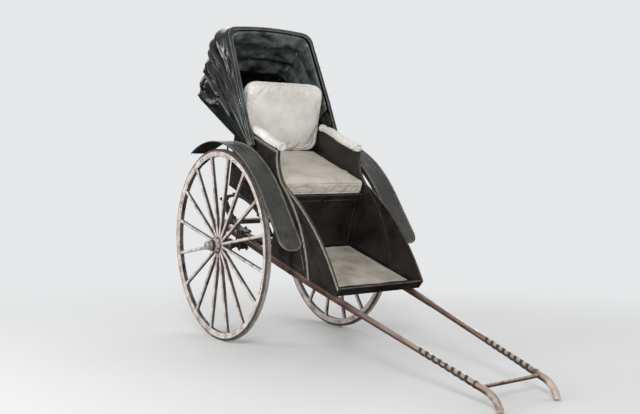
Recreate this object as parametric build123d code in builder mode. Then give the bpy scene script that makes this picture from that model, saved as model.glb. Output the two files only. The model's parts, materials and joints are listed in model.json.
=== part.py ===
from build123d import *
import os
from math import asin, atan, atan2, cos, degrees, hypot, radians, sin, sqrt, tan

# Pulled rickshaw, parked on the tips of its shafts. Millimetres.
# Every piece is drawn as the vehicle runs: origin at the middle of the axle,
# front towards -Y, up +Z, the right-hand side at -X. The pieces that ride on
# the axle are then leaned forward about it until the shaft tips meet the floor.
RIGHT, LEFT = -1, 1

# Wheels
wheel_radius = 550.0
half_track = 405.0
tyre_depth = 14.0
tyre_width = 28.0
tyre_bevel = 4.0
rim_depth = 30.0
rim_width = 34.0
rim_chamfer = 6.0
spoke_count = 16
first_spoke_angle = 10.0
spoke_at_hub = (28.0, 15.0)
spoke_at_rim = (22.0, 17.0)
spoke_bevel = 4.5
spoke_overrun = 4.0
hub_radius = 47.0
hub_drum = (-26.0, 24.0)
hub_inboard = 71.0
hub_inboard_radius = 32.0
hub_inboard_hoop = 18.0
hub_outboard = 62.0
hub_outboard_radius = 30.0
hub_outboard_hoop = 16.0
hub_step = 3.0
journal_clearance = 0.05
end_play = 1.0
cap_radius = 25.0
cap_length = 30.0
cap_wall = 4.0
cap_chamfer = 6.0

# Axle, springs and their clamps
axle_square = 30.0
journal_radius = 14.0
collar_radius = 26.0
collar_width = 15.0
nut_across_flats = 34.0
nut_thickness = 11.0
thread_end = 3.0
leaf_thickness = 6.0
leaf_width = 36.0
spring_half_length = 280.0
leaf_reach = (1.0, 0.78, 0.5)
spring_eye_radius = 11.0
spring_eye_overhang = 3.0
spring_block = 7.0
spring_block_half = 24.0
axle_block_half = 15.0
clamp_bolt_radius = 4.5
clamp_bolt_offset = 25.0
clamp_bolt_foot = 6.0
clamp_bolt_head = 8.0
clamp_plate = 6.0
clamp_margin = 4.0
clamp_bedding = 1.5

# Shafts
shaft_rise = 0.075
shaft_over_axle = 36.0
shaft_spacing = 262.0
shaft_half_height = 19.0
# one row each: y, half spacing, width, height, bevel; from the last one the shaft is round
shaft_stations = [
    (330.0, 262.0, 30.0, 34.0, 5.0),
    (60.0, 262.0, 34.0, 38.0, 5.0),
    (-420.0, 262.0, 34.0, 38.0, 6.0),
    (-720.0, 257.0, 33.0, 35.0, 8.0),
    (-1120.0, 237.0, 31.0, 31.0, 9.0),
]
shaft_bend_y = -1945.0
shaft_tip_spacing = 180.0
round_start = 25.0
round_inset = 0.5
grip_y = -1700.0
grip_radius = 13.0
tip_radius = 16.0
tip_bend_radius = 115.0
tip_bend_angle = 56.0
tip_bar_y = -1915.0
tip_bar_radius = 9.0
tip_bar_tenon = 10.0
front_bar_y = -560.0
front_bar_size = 30.0
rear_bar_y = 290.0
rear_bar_size = 28.0
bar_corner = 4.0
bar_gap = 0.4

# Body
panel_outside = 280.0
panel_thickness = 16.0
seat_box_bottom = 310.0
seat_box_front = -320.0
seat_box_floor = 14.0
seat_height = 430.0
seat_board = 14.0
seat_box_gap = 2.0
seat_board_gap = 0.3
back_foot_y = 225.0
back_top = (285.0, 890.0)
back_corner = 90.0
arm_height = 650.0
arm_front_y = -235.0
sill_height = 30.0
sill_width = 34.0
floor_gap = 6.0
floor_thickness = 14.0
riser_y = -345.0
riser_thickness = 14.0
arm_end = (-352.0, 494.0)
arm_hollow = (-275.0, 553.0)
front_sweep = (-603.0, 322.0)
side_front_y = -738.0
toe_sweep = (-690.0, 384.0)
toe_front_y = -962.0
toe_top = (-984.0, 182.0)
toe_panel = 9.0
toe_panel_inset = 4.0
toe_board_thickness = 12.0
bracket_y = -705.0
bracket_x = 256.0
bracket_half_length = 22.0
bracket_half_width = 9.0
bracket_seat = 17.9

# Soft goods
seat_cushion_thickness = 75.0
seat_cushion_edge = 12.0
seat_cushion_front_gap = 3.0
seat_cushion_rear_gap = 14.0
seat_cushion_side_gap = 2.0
back_cushion_thickness = 55.0
back_cushion_edge = 14.0
back_cushion_corner = 60.0
back_cushion_lift = 6.0
back_cushion_over = 10.0
back_cushion_side_gap = 7.0
arm_pad_width = 46.0
arm_pad_thickness = 40.0
arm_pad_edge = 10.0
arm_pad_rear_y = 150.0
mat_thickness = 5.0
mat_rear_gap = 12.0
mat_front_gap = 70.0
mat_side_gap = 20.0
soft_gap = 0.3

# Mudguards
guard_clearance = 40.0
guard_thickness = 3.0
guard_inside = 318.0
guard_outside = 448.0
guard_rear_angle = 43.5
guard_top_angle = 96.0
guard_front_radius = 765.0
guard_front_swing = 28.0
guard_tail = 345.0
guard_tip_corner = 55.0
guard_rear_corner = 20.0
guard_bead = 7.0
guard_bead_bevel = 1.75
stay_size = 9.0
stay_bevel = 2.25
stay_bend = 14.0
stay_x = 338.0
# one row each: y of the stay, height where it leaves the side panel
guard_stays = [(205.0, 480.0), (-200.0, 480.0), (-520.0, 300.0)]

# Hood
hood_pivot = (-30.0, 560.0)
hood_length = 825.0
hood_knee = 345.0
hood_taper = 14.0
hood_corner = 62.0
hood_crown = 14.0
bow_iron = 5.0
bow_depth = 14.0
bow_width = 16.0
bow_eye_radius = 14.0
hood_pin_radius = 6.0
pin_head_radius = 12.0
pin_head = 6.0
pivot_plate_radius = 22.0
pivot_plate = 1.5
cut_overrun = 1.0
cloth_over_bow = 0.5
cloth_thickness = 3.0
cloth_start = 45.0
cloth_foot_overrun = 20.0
cloth_split = 0.15
cloth_bulge = 26.0
cloth_side_bulge = 12.0
# directions in which the flats round a shoulder face, in degrees above outwards
shoulder_flats = (15, 45, 75)
curtain_gap = 1.0
curtain_lean = 82.0
# one row each: name, lean back from upright at rest, outside half width
hood_bows = [
    ("hood_front_bow", 43.0, 303.5),
    ("hood_second_bow", 52.0, 298.0),
    ("hood_third_bow", 60.5, 292.5),
    ("hood_rear_bow", 69.0, 287.0),
]
hood_panels = ["hood_front_panel", "hood_middle_panel", "hood_rear_panel"]

rim_outside = wheel_radius - tyre_depth
rim_inside = rim_outside - rim_depth
hub_inner_end = half_track - hub_inboard
hub_outer_end = half_track + hub_outboard
collar_face = hub_inner_end - end_play
guard_radius = wheel_radius + guard_clearance
panel_inside = panel_outside - panel_thickness
back_lean = degrees(atan2(back_top[0] - back_foot_y, back_top[1] - seat_box_bottom))
back_height = hypot(back_top[0] - back_foot_y, back_top[1] - seat_box_bottom)


def shaft_z(y):
    """Height of a shaft's centre line."""
    return shaft_over_axle - shaft_rise * y


def floor_z(y):
    """Underside of the footboard, which runs along above the shafts."""
    return shaft_z(y) + shaft_half_height + floor_gap


def back_y(z):
    """Rear face of the backrest at a height."""
    lean = (back_top[0] - back_foot_y) / (back_top[1] - seat_box_bottom)
    return back_foot_y + lean * (z - seat_box_bottom)


# The shaft tips droop and are cut off square; the parked vehicle stands on the
# rear edge of each cut.
round_y, round_spacing, round_size = shaft_stations[-1][:3]
tip_heading = atan((round_spacing - shaft_tip_spacing) / (round_y - shaft_bend_y))
tip_slope = atan(shaft_rise * cos(tip_heading))
tip_fall = radians(tip_bend_angle) - tip_slope
tip_run = tip_bend_radius * (sin(tip_slope) + sin(tip_fall))
tip_drop = tip_bend_radius * (cos(tip_slope) - cos(tip_fall))
foot_y = shaft_bend_y - (tip_run - tip_radius * sin(tip_fall)) * cos(tip_heading)
foot_z = shaft_z(shaft_bend_y) - tip_drop - tip_radius * cos(tip_fall)
lean_in = atan2(foot_z, -foot_y) + asin(wheel_radius / hypot(foot_y, foot_z))
park_angle = degrees(lean_in)

# The record's origin is on the floor, under the middle of the vehicle's length.
foot_reach = foot_y * cos(lean_in) - foot_z * sin(lean_in)
tip_reach = foot_reach - 2 * tip_radius * sin(tip_fall + lean_in)
axle_y = -(wheel_radius + tip_reach) / 2


def save(part, name):
    part.label = name
    export_step(part, f"parts/{name}.step")


def park(piece, name):
    """Lean a piece of the carriage forward about the axle and stand it on the floor."""
    with BuildPart() as parked:
        with Locations((0, axle_y, wheel_radius)):
            add(piece, rotation=(park_angle, 0, 0))
    save(parked.part, name)


def mount_wheel_piece(piece, side, name):
    """Put a piece drawn round its own Z axis on the axle, its top face outboard."""
    seat = Plane(origin=(side * half_track, axle_y, wheel_radius), x_dir=(0, 0, -1), z_dir=(side, 0, 0))
    with BuildPart() as mounted:
        with Locations(seat):
            add(piece)
    save(mounted.part, name)


def side_plane(x):
    """Upright plane seen from the left: its own x is Y, its own y is Z."""
    return Plane(origin=(x, 0, 0), x_dir=(0, 1, 0), z_dir=(1, 0, 0))


def bevelled(width, height, bevel):
    """Rectangle with its corners cut at 45 degrees, so that tapers stay flat-sided."""
    with BuildSketch() as outline:
        Rectangle(width, height)
        chamfer(outline.vertices(), bevel)
    return outline.sketch


# Wheels

def tyre():
    with BuildPart() as part:
        with BuildSketch(Plane.XZ):
            with Locations((wheel_radius - tyre_depth / 2, 0)):
                Rectangle(tyre_depth, tyre_width)
        revolve(axis=Axis.Z)
        chamfer(part.edges().filter_by(GeomType.CIRCLE).group_by(SortBy.RADIUS)[-1], tyre_bevel)
    return part.part


def rim():
    with BuildPart() as part:
        with BuildSketch(Plane.XZ):
            with Locations((rim_outside - rim_depth / 2, 0)):
                Rectangle(rim_depth, rim_width)
        revolve(axis=Axis.Z)
        chamfer(part.edges().filter_by(GeomType.CIRCLE).group_by(SortBy.RADIUS)[0], rim_chamfer)
    return part.part


def spokes():
    """Bevelled spokes, deep at the hub, ended by the hub's drum and the rim's bore."""
    with BuildPart() as spoke:
        with BuildSketch(Plane.YZ.offset(hub_radius - spoke_overrun)):
            add(bevelled(spoke_at_hub[1], spoke_at_hub[0], spoke_bevel))
        with BuildSketch(Plane.YZ.offset(rim_inside + spoke_overrun)):
            add(bevelled(spoke_at_rim[1], spoke_at_rim[0], spoke_bevel))
        loft(ruled=True)
        with BuildSketch():
            Circle(rim_inside)
            Circle(hub_radius, mode=Mode.SUBTRACT)
        extrude(amount=rim_width, both=True, mode=Mode.INTERSECT)
    with BuildPart() as part:
        with PolarLocations(0, spoke_count, start_angle=first_spoke_angle):
            add(spoke.part)
    return part.part


def hub():
    """Turned hub with a step for the hoop at each end."""
    bore = journal_radius + journal_clearance
    # outline from the inboard end to the outboard end: distance along, radius
    outline = [
        (-hub_inboard, bore),
        (-hub_inboard, hub_inboard_radius),
        (-hub_inboard + hub_inboard_hoop, hub_inboard_radius),
        (-hub_inboard + hub_inboard_hoop, hub_inboard_radius - hub_step),
        (hub_drum[0], hub_radius),
        (hub_drum[1], hub_radius),
        (hub_outboard - hub_outboard_hoop, hub_outboard_radius - hub_step),
        (hub_outboard - hub_outboard_hoop, hub_outboard_radius),
        (hub_outboard, hub_outboard_radius),
        (hub_outboard, bore),
    ]
    with BuildPart() as part:
        with BuildSketch(Plane.XZ):
            with BuildLine():
                Polyline([(radius, along) for along, radius in outline], close=True)
            make_face()
        revolve(axis=Axis.Z)
    return part.part


def hub_cap():
    with BuildPart() as part:
        with BuildSketch(Plane.XY.offset(hub_outboard)):
            Circle(cap_radius)
        extrude(amount=cap_length)
        chamfer(part.faces().sort_by(Axis.Z)[-1].edges(), cap_chamfer)
        with BuildSketch(Plane.XY.offset(hub_outboard)):
            Circle(cap_radius - cap_wall)
        extrude(amount=cap_length - cap_wall, mode=Mode.SUBTRACT)
    return part.part


# Running gear

def axle():
    with BuildPart() as part:
        Box(2 * (collar_face - collar_width), axle_square, axle_square)
        for side in (RIGHT, LEFT):
            with BuildSketch(side_plane(side * (collar_face - collar_width))):
                Circle(collar_radius)
            extrude(amount=side * collar_width)
            with BuildSketch(side_plane(side * collar_face)):
                Circle(journal_radius)
            extrude(amount=side * (hub_outer_end + nut_thickness + thread_end - collar_face))
            with BuildSketch(side_plane(side * (hub_outer_end + end_play))):
                RegularPolygon(nut_across_flats / 2, 6, major_radius=False)
            extrude(amount=side * nut_thickness)
    return part.part


spring_foot = shaft_over_axle + shaft_half_height + spring_block
spring_head = seat_box_bottom - sill_height
spring_eye_z = (spring_foot + spring_head) / 2
leaf_pack = len(leaf_reach) * leaf_thickness
spring_rise = spring_eye_z - (spring_foot + leaf_pack - leaf_thickness / 2)
leaf_radius = (spring_half_length ** 2 + spring_rise ** 2) / (2 * spring_rise)


def leaf(row, reach, bow):
    """Outline of one leaf, row 0 the longest: bow +1 curls its ends up, -1 down."""
    seat = spring_foot if bow > 0 else spring_head
    centre = (0, seat + bow * (leaf_pack - leaf_thickness / 2 + leaf_radius))
    half_angle = degrees(asin(spring_half_length / leaf_radius)) * reach
    middle = -90 if bow > 0 else 90
    inner = leaf_radius + (row - 0.5) * leaf_thickness
    with BuildSketch() as outline:
        with BuildLine():
            near = CenterArc(centre, inner, middle - half_angle, 2 * half_angle)
            far = CenterArc(centre, inner + leaf_thickness, middle - half_angle, 2 * half_angle)
            Line(near @ 0, far @ 0)
            Line(near @ 1, far @ 1)
        make_face()
    return outline.sketch


def springs():
    """Full elliptic springs: two packs of three leaves that meet at the eyes."""
    with BuildPart() as part:
        for side in (RIGHT, LEFT):
            for bow in (1, -1):
                for row, reach in enumerate(leaf_reach):
                    with BuildSketch(side_plane(side * shaft_spacing)):
                        add(leaf(row, reach, bow))
                    extrude(amount=leaf_width / 2, both=True)
            with BuildSketch(side_plane(side * shaft_spacing)):
                with Locations((-spring_half_length, spring_eye_z), (spring_half_length, spring_eye_z)):
                    Circle(spring_eye_radius)
            extrude(amount=leaf_width / 2 + spring_eye_overhang, both=True)
    return part.part


def spring_clamps():
    """Plates and bolts that hold spring, shaft and axle together, over and under."""
    bolt_bottom = -axle_square / 2 - clamp_plate - clamp_bolt_foot
    pack_top = spring_foot + leaf_pack + clamp_bedding
    plate = 2 * (clamp_bolt_offset + clamp_bolt_radius + clamp_margin)
    seat_bottom = shaft_over_axle + shaft_half_height
    with BuildPart() as part:
        for side in (RIGHT, LEFT):
            x = side * shaft_spacing
            with Locations((x, 0, -axle_square / 2 - clamp_plate / 2)):
                Box(plate, plate, clamp_plate)
            with Locations((x, 0, pack_top + clamp_plate / 2)):
                Box(plate, plate, clamp_plate)
            with BuildSketch(Plane.XY.offset(bolt_bottom)):
                with Locations((x, 0)):
                    with GridLocations(2 * clamp_bolt_offset, 2 * clamp_bolt_offset, 2, 2):
                        RegularPolygon(clamp_bolt_radius, 8)
            extrude(amount=pack_top + clamp_plate + clamp_bolt_head - bolt_bottom)
            with BuildSketch(side_plane(x)):
                with BuildLine():
                    Polyline(
                        (-spring_block_half, seat_bottom + spring_block_half * shaft_rise),
                        (spring_block_half, seat_bottom - spring_block_half * shaft_rise),
                        (spring_block_half, spring_foot),
                        (-spring_block_half, spring_foot),
                        close=True,
                    )
                make_face()
            extrude(amount=leaf_width / 2, both=True)
            with BuildSketch(side_plane(x)):
                with BuildLine():
                    Polyline(
                        (-axle_block_half, axle_square / 2),
                        (axle_block_half, axle_square / 2),
                        (axle_block_half, shaft_z(axle_block_half) - shaft_half_height),
                        (-axle_block_half, shaft_z(-axle_block_half) - shaft_half_height),
                        close=True,
                    )
                make_face()
            extrude(amount=leaf_width / 2, both=True)
    return part.part


def shaft_middle(y):
    """Half spacing of the round part of the shafts."""
    return shaft_tip_spacing + (y - shaft_bend_y) * tan(tip_heading)


def shaft_inside(y):
    """Inner face of a shaft at y."""
    grip = (grip_y, shaft_middle(grip_y), 2 * grip_radius)
    bend = (shaft_bend_y, shaft_tip_spacing, 2 * tip_radius)
    rows = [station[:3] for station in shaft_stations] + [grip, bend]
    for rear, front in zip(rows, rows[1:]):
        if front[0] <= y <= rear[0]:
            share = (rear[0] - y) / (rear[0] - front[0])
            spacing = rear[1] + share * (front[1] - rear[1])
            width = rear[2] + share * (front[2] - rear[2])
            return spacing - width / 2
    return shaft_spacing


def right_shaft():
    """Tapered shaft: squared under the body, round at the grip, its tip drooping and thicker."""
    side = RIGHT
    rounds = [(round_y + round_start, round_size / 2 - round_inset), (grip_y, grip_radius),
              (shaft_bend_y, tip_radius)]
    bend_start = Vector(side * shaft_tip_spacing, shaft_bend_y, shaft_z(shaft_bend_y))
    heading = (-side * sin(tip_heading), -cos(tip_heading), 0)
    upright = Plane(origin=bend_start, x_dir=heading, z_dir=(-cos(tip_heading), side * sin(tip_heading), 0))
    with BuildPart() as part:
        for y, spacing, width, height, bevel in shaft_stations:
            across = Plane(origin=(side * spacing, y, shaft_z(y)), x_dir=(1, 0, 0), z_dir=(0, -1, 0))
            with BuildSketch(across):
                add(bevelled(width, height, bevel))
        loft(ruled=True)
        for (rear_y, rear_radius), (front_y, front_radius) in zip(rounds, rounds[1:]):
            rear = Vector(side * shaft_middle(rear_y), rear_y, shaft_z(rear_y))
            front = Vector(side * shaft_middle(front_y), front_y, shaft_z(front_y))
            with Locations(Plane(origin=rear, z_dir=front - rear)):
                Cone(rear_radius, front_radius, (front - rear).length,
                     align=(Align.CENTER, Align.CENTER, Align.MIN))
        with BuildLine(upright) as bend:
            JernArc((0, 0), (cos(tip_slope), sin(tip_slope)), tip_bend_radius, -tip_bend_angle)
        with BuildSketch(Plane(origin=bend.line @ 0, z_dir=bend.line % 0)):
            Circle(tip_radius)
        sweep(path=bend.line)
        with BuildSketch(side_plane(0)):
            with Locations((tip_bar_y, shaft_z(tip_bar_y))):
                Circle(tip_bar_radius + journal_clearance)
        extrude(amount=side * (shaft_inside(tip_bar_y) + tip_bar_tenon + bar_gap), mode=Mode.SUBTRACT)
    return part.part


def left_shaft():
    with BuildPart() as part:
        add(right_shaft())
        mirror(about=Plane.YZ, mode=Mode.REPLACE)
    return part.part


def crossbar(y, size):
    """Square bar between the shafts."""
    with BuildPart() as part:
        with BuildSketch(Plane(origin=(0, y, shaft_z(y)), x_dir=(0, 1, 0), z_dir=(1, 0, 0))):
            RectangleRounded(size, size, bar_corner)
        extrude(amount=shaft_inside(y) - bar_gap, both=True)
    return part.part


def tip_crossbar():
    """Round bar that the puller holds, let into both shafts."""
    with BuildPart() as part:
        with BuildSketch(side_plane(0)):
            with Locations((tip_bar_y, shaft_z(tip_bar_y))):
                Circle(tip_bar_radius)
        extrude(amount=shaft_inside(tip_bar_y) + tip_bar_tenon, both=True)
    return part.part


# Body

def sills():
    with BuildPart() as part:
        for side in (RIGHT, LEFT):
            with Locations((side * shaft_spacing, (seat_box_front + back_foot_y) / 2,
                            seat_box_bottom - sill_height / 2)):
                Box(sill_width, back_foot_y - seat_box_front, sill_height)
    return part.part


def side_panel(side):
    """Side of the seat and foot well: level arm, hollow sweep, full rounded front."""
    outer = side * panel_outside
    with BuildPart() as part:
        with BuildSketch(side_plane(outer)):
            with BuildLine():
                Line((back_foot_y, seat_box_bottom), (back_y(arm_height), arm_height))
                Line((back_y(arm_height), arm_height), (arm_front_y, arm_height))
                ThreePointArc((arm_front_y, arm_height), arm_hollow, arm_end)
                ThreePointArc(arm_end, front_sweep, (side_front_y, floor_z(side_front_y)))
                Line((side_front_y, floor_z(side_front_y)), (riser_y, floor_z(riser_y)))
                Line((riser_y, floor_z(riser_y)), (seat_box_front, seat_box_bottom))
                Line((seat_box_front, seat_box_bottom), (back_foot_y, seat_box_bottom))
            make_face()
        extrude(amount=-side * panel_thickness)
    return part.part


def toe_panels():
    """Low cheeks that carry the foot well on to the toe board."""
    with BuildPart() as part:
        for side in (RIGHT, LEFT):
            with BuildSketch(side_plane(side * (panel_outside - toe_panel_inset))):
                with BuildLine():
                    ThreePointArc(arm_end, front_sweep, (side_front_y, floor_z(side_front_y)))
                    Line((side_front_y, floor_z(side_front_y)), (toe_front_y, floor_z(toe_front_y)))
                    Line((toe_front_y, floor_z(toe_front_y)), toe_top)
                    ThreePointArc(toe_top, toe_sweep, arm_end)
                make_face()
            extrude(amount=-side * toe_panel)
    return part.part


def seat_box():
    """Bottom of the box under the seat."""
    floor_top = seat_box_bottom + seat_box_floor
    with BuildPart() as part:
        with BuildSketch(side_plane(0)):
            with BuildLine():
                Polyline(
                    (back_foot_y - panel_thickness - seat_box_gap, seat_box_bottom),
                    (riser_y + riser_thickness, seat_box_bottom),
                    (riser_y + riser_thickness, floor_top),
                    (back_y(floor_top) - panel_thickness - seat_box_gap, floor_top),
                    close=True,
                )
            make_face()
        extrude(amount=panel_inside, both=True)
    return part.part


def foot_riser():
    """Upright board under the front of the seat, from the footboard up."""
    foot, head = floor_z(riser_y) + floor_thickness, seat_height - seat_board
    with BuildPart() as part:
        with Locations((0, riser_y + riser_thickness / 2, (foot + head) / 2)):
            Box(2 * panel_inside, riser_thickness, head - foot)
    return part.part


def seat_panel():
    """Board under the seat cushion, from the riser to the backrest."""
    rear = back_y(seat_height - seat_board) - panel_thickness / cos(radians(back_lean)) - seat_board_gap
    with BuildPart() as part:
        with Locations((0, (riser_y + rear) / 2, seat_height - seat_board / 2)):
            Box(2 * panel_inside, rear - riser_y, seat_board)
    return part.part


def back_panel():
    lean = radians(back_lean)
    face = Plane(origin=(0, back_foot_y, seat_box_bottom), x_dir=(1, 0, 0), z_dir=(0, -cos(lean), sin(lean)))
    with BuildPart() as part:
        with BuildSketch(face) as outline:
            with Locations((0, back_height / 2)):
                Rectangle(2 * panel_inside, back_height)
            fillet(outline.vertices().group_by(Axis.Y)[-1], back_corner)
        extrude(amount=panel_thickness)
    return part.part


def footboard():
    with BuildPart() as part:
        with BuildSketch(side_plane(0)):
            with BuildLine():
                Polyline(
                    (riser_y, floor_z(riser_y)),
                    (toe_front_y, floor_z(toe_front_y)),
                    (toe_front_y, floor_z(toe_front_y) + floor_thickness),
                    (riser_y, floor_z(riser_y) + floor_thickness),
                    close=True,
                )
            make_face()
        extrude(amount=panel_inside, both=True)
    return part.part


def toe_board():
    foot = floor_z(toe_front_y) + floor_thickness
    lean = (toe_top[0] - toe_front_y) / (toe_top[1] - floor_z(toe_front_y))
    foot_front = toe_front_y + lean * floor_thickness
    with BuildPart() as part:
        with BuildSketch(side_plane(0)):
            with BuildLine():
                Polyline(
                    (foot_front, foot),
                    toe_top,
                    (toe_top[0] + toe_board_thickness, toe_top[1]),
                    (foot_front + toe_board_thickness, foot),
                    close=True,
                )
            make_face()
        extrude(amount=panel_inside, both=True)
    return part.part


def body_brackets():
    """Irons that carry the front of the foot well on the shafts."""
    rear, front = bracket_y + bracket_half_length, bracket_y - bracket_half_length
    with BuildPart() as part:
        for side in (RIGHT, LEFT):
            with BuildSketch(side_plane(side * bracket_x)):
                with BuildLine():
                    Polyline(
                        (rear, shaft_z(rear) + bracket_seat),
                        (front, shaft_z(front) + bracket_seat),
                        (front, floor_z(front)),
                        (rear, floor_z(rear)),
                        close=True,
                    )
                make_face()
            extrude(amount=bracket_half_width, both=True)
    return part.part


# Soft goods

def seat_cushion():
    front = riser_y + seat_cushion_front_gap
    rear = back_y(seat_height) - panel_thickness - seat_cushion_rear_gap
    with BuildPart() as part:
        with Locations((0, (front + rear) / 2, seat_height + soft_gap + seat_cushion_thickness / 2)):
            Box(2 * (panel_inside - seat_cushion_side_gap), rear - front, seat_cushion_thickness)
        chamfer(part.edges(), seat_cushion_edge)
    return part.part


def back_cushion():
    lean = radians(back_lean)
    start = Plane(origin=(0, back_foot_y, seat_box_bottom), x_dir=(1, 0, 0), z_dir=(0, -cos(lean), sin(lean)))
    front = start.offset(panel_thickness + soft_gap)
    low = seat_height + seat_cushion_thickness + back_cushion_lift - seat_box_bottom
    high = back_height + back_cushion_over
    width = 2 * (panel_inside - back_cushion_side_gap)
    with BuildPart() as part:
        with BuildSketch(front):
            with Locations((0, (low + high) / 2)):
                RectangleRounded(width, high - low, back_cushion_corner)
        extrude(amount=back_cushion_thickness)
        chamfer(part.faces().sort_by(Axis.Y)[0].edges(), back_cushion_edge)
    return part.part


def arm_pads():
    length = arm_pad_rear_y - arm_front_y
    middle_y = (arm_front_y + arm_pad_rear_y) / 2
    middle_z = arm_height + soft_gap + arm_pad_thickness / 2
    with BuildPart() as part:
        for side in (RIGHT, LEFT):
            with Locations((side * (panel_outside - arm_pad_width / 2), middle_y, middle_z)):
                Box(arm_pad_width, length, arm_pad_thickness)
        chamfer(part.edges().filter_by(Axis.Y), arm_pad_edge)
    return part.part


def floor_mat():
    rear_y, front_y = riser_y - mat_rear_gap, toe_front_y + mat_front_gap
    top = floor_thickness + soft_gap
    with BuildPart() as part:
        with BuildSketch(side_plane(0)):
            with BuildLine():
                Polyline(
                    (rear_y, floor_z(rear_y) + top),
                    (front_y, floor_z(front_y) + top),
                    (front_y, floor_z(front_y) + top + mat_thickness),
                    (rear_y, floor_z(rear_y) + top + mat_thickness),
                    close=True,
                )
            make_face()
        extrude(amount=panel_inside - mat_side_gap, both=True)
    return part.part


# Mudguards

def on_circle(radius, angle):
    return (radius * cos(radians(angle)), radius * sin(radians(angle)))


def guard_arcs(gap):
    """Centre, radius, start angle and swing of both arcs of the face that lies gap above the underside."""
    front_centre = on_circle(guard_radius - guard_front_radius, guard_top_angle)
    return [
        ((0, 0), guard_radius + gap, guard_rear_angle, guard_top_angle - guard_rear_angle),
        (front_centre, guard_front_radius + gap, guard_top_angle, guard_front_swing),
    ]


def guard_tail_point(gap, along):
    """Point on the straight tail, at a distance from where the front arc ends."""
    centre, radius, start, swing = guard_arcs(gap)[1]
    end = on_circle(radius, start + swing)
    fall = radians(start + swing)
    return (centre[0] + end[0] - along * sin(fall), centre[1] + end[1] + along * cos(fall))


def mudguard(side):
    """Sheet that hugs the wheel's top and runs on to a straight tail with a rounded end."""
    with BuildPart() as part:
        with BuildSketch(side_plane(side * guard_inside)):
            with BuildLine():
                under_rear, under_front = [CenterArc(*row) for row in guard_arcs(0)]
                over_rear, over_front = [CenterArc(*row) for row in guard_arcs(guard_thickness)]
                Line(under_rear @ 0, over_rear @ 0)
                Line(under_front @ 1, guard_tail_point(0, guard_tail))
                Line(guard_tail_point(0, guard_tail), guard_tail_point(guard_thickness, guard_tail))
                Line(guard_tail_point(guard_thickness, guard_tail), over_front @ 1)
            make_face()
        extrude(amount=side * (guard_outside - guard_inside))
        corners = [edge for edge in part.edges().filter_by(GeomType.LINE)
                   if abs(edge.length - guard_thickness) < 0.01]
        corners.sort(key=lambda edge: edge.center().Y)
        fillet(corners[:2], guard_tip_corner)
        fillet(corners[2:], guard_rear_corner)
        with BuildLine(side_plane(side * guard_outside)) as edge_line:
            for row in guard_arcs(guard_thickness / 2):
                CenterArc(*row)
            Line(guard_tail_point(guard_thickness / 2, 0),
                 guard_tail_point(guard_thickness / 2, guard_tail - guard_tip_corner))
        with BuildSketch(Plane(origin=edge_line.line @ 0, z_dir=edge_line.line % 0)):
            add(bevelled(guard_bead, guard_bead, guard_bead_bevel))
        sweep(path=edge_line.line)
    return part.part


def guard_under(y):
    """Height of a mudguard's underside."""
    top_y = on_circle(guard_radius, guard_top_angle)[0]
    if y > top_y:
        return sqrt(guard_radius ** 2 - y ** 2)
    centre, radius = guard_arcs(0)[1][:2]
    tail_y, tail_z = guard_tail_point(0, 0)
    if y > tail_y:
        return centre[1] + sqrt(radius ** 2 - (y - centre[0]) ** 2)
    end_y, end_z = guard_tail_point(0, guard_tail)
    return tail_z + (y - tail_y) * (end_z - tail_z) / (end_y - tail_y)


def guard_stay_pieces():
    """Bent irons that stand off the side panels and carry the mudguards."""
    with BuildPart() as part:
        for side in (RIGHT, LEFT):
            for y, leave_z in guard_stays:
                slope = abs(guard_under(y + 1) - guard_under(y - 1)) / 2
                top = guard_under(y) - slope * stay_size / 2 - soft_gap
                across = Plane(origin=(0, y, 0), x_dir=(1, 0, 0), z_dir=(0, -1, 0))
                with BuildLine(across) as rod:
                    FilletPolyline(
                        (side * panel_outside, leave_z),
                        (side * stay_x, leave_z),
                        (side * stay_x, top),
                        radius=stay_bend,
                    )
                with BuildSketch(Plane(origin=rod.line @ 0, x_dir=(0, 1, 0), z_dir=rod.line % 0)):
                    add(bevelled(stay_size, stay_size, stay_bevel))
                sweep(path=rod.line)
    return part.part


# Hood

def bow_plane(lean):
    """Plane through the pivot, its own y along a bow that leans back from upright."""
    back = radians(lean)
    return Plane(origin=(0, *hood_pivot), x_dir=(1, 0, 0), z_dir=(0, -cos(back), sin(back)))


def arch(half_width, foot, top, corner):
    """Outline of an upturned U that leans in above its knee, with round shoulders and a crown."""
    shoulder = top - hood_crown
    narrow = half_width - hood_taper
    with BuildSketch() as outline:
        with BuildLine():
            Polyline((-half_width, foot), (-half_width, hood_knee), (-narrow, shoulder - corner))
            RadiusArc((-narrow, shoulder - corner), (-narrow + corner, shoulder), corner)
            ThreePointArc((-narrow + corner, shoulder), (0, top), (narrow - corner, shoulder))
            RadiusArc((narrow - corner, shoulder), (narrow, shoulder - corner), corner)
            Polyline((narrow, shoulder - corner), (half_width, hood_knee), (half_width, foot))
            Line((half_width, foot), (-half_width, foot))
        make_face()
    return outline.sketch


def hood_bow(lean, half_width):
    """One bow: flat irons down the sides, a deeper bar across, an eye at each foot."""
    with BuildPart() as part:
        with BuildSketch(bow_plane(lean)):
            add(arch(half_width, 0, hood_length, hood_corner))
        extrude(amount=bow_width / 2, both=True)
        with BuildSketch(bow_plane(lean)):
            add(arch(half_width - bow_iron, -cut_overrun, hood_length - bow_depth, hood_corner - bow_iron))
        extrude(amount=bow_width, both=True, mode=Mode.SUBTRACT)
        for side in (RIGHT, LEFT):
            with BuildSketch(side_plane(side * half_width)):
                with Locations(hood_pivot):
                    Circle(bow_eye_radius)
            extrude(amount=-side * bow_iron)
            with BuildSketch(side_plane(side * (half_width + cut_overrun))):
                with Locations(hood_pivot):
                    Circle(hood_pin_radius + journal_clearance)
            extrude(amount=-side * (bow_iron + 2 * cut_overrun), mode=Mode.SUBTRACT)
    return part.part


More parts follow.
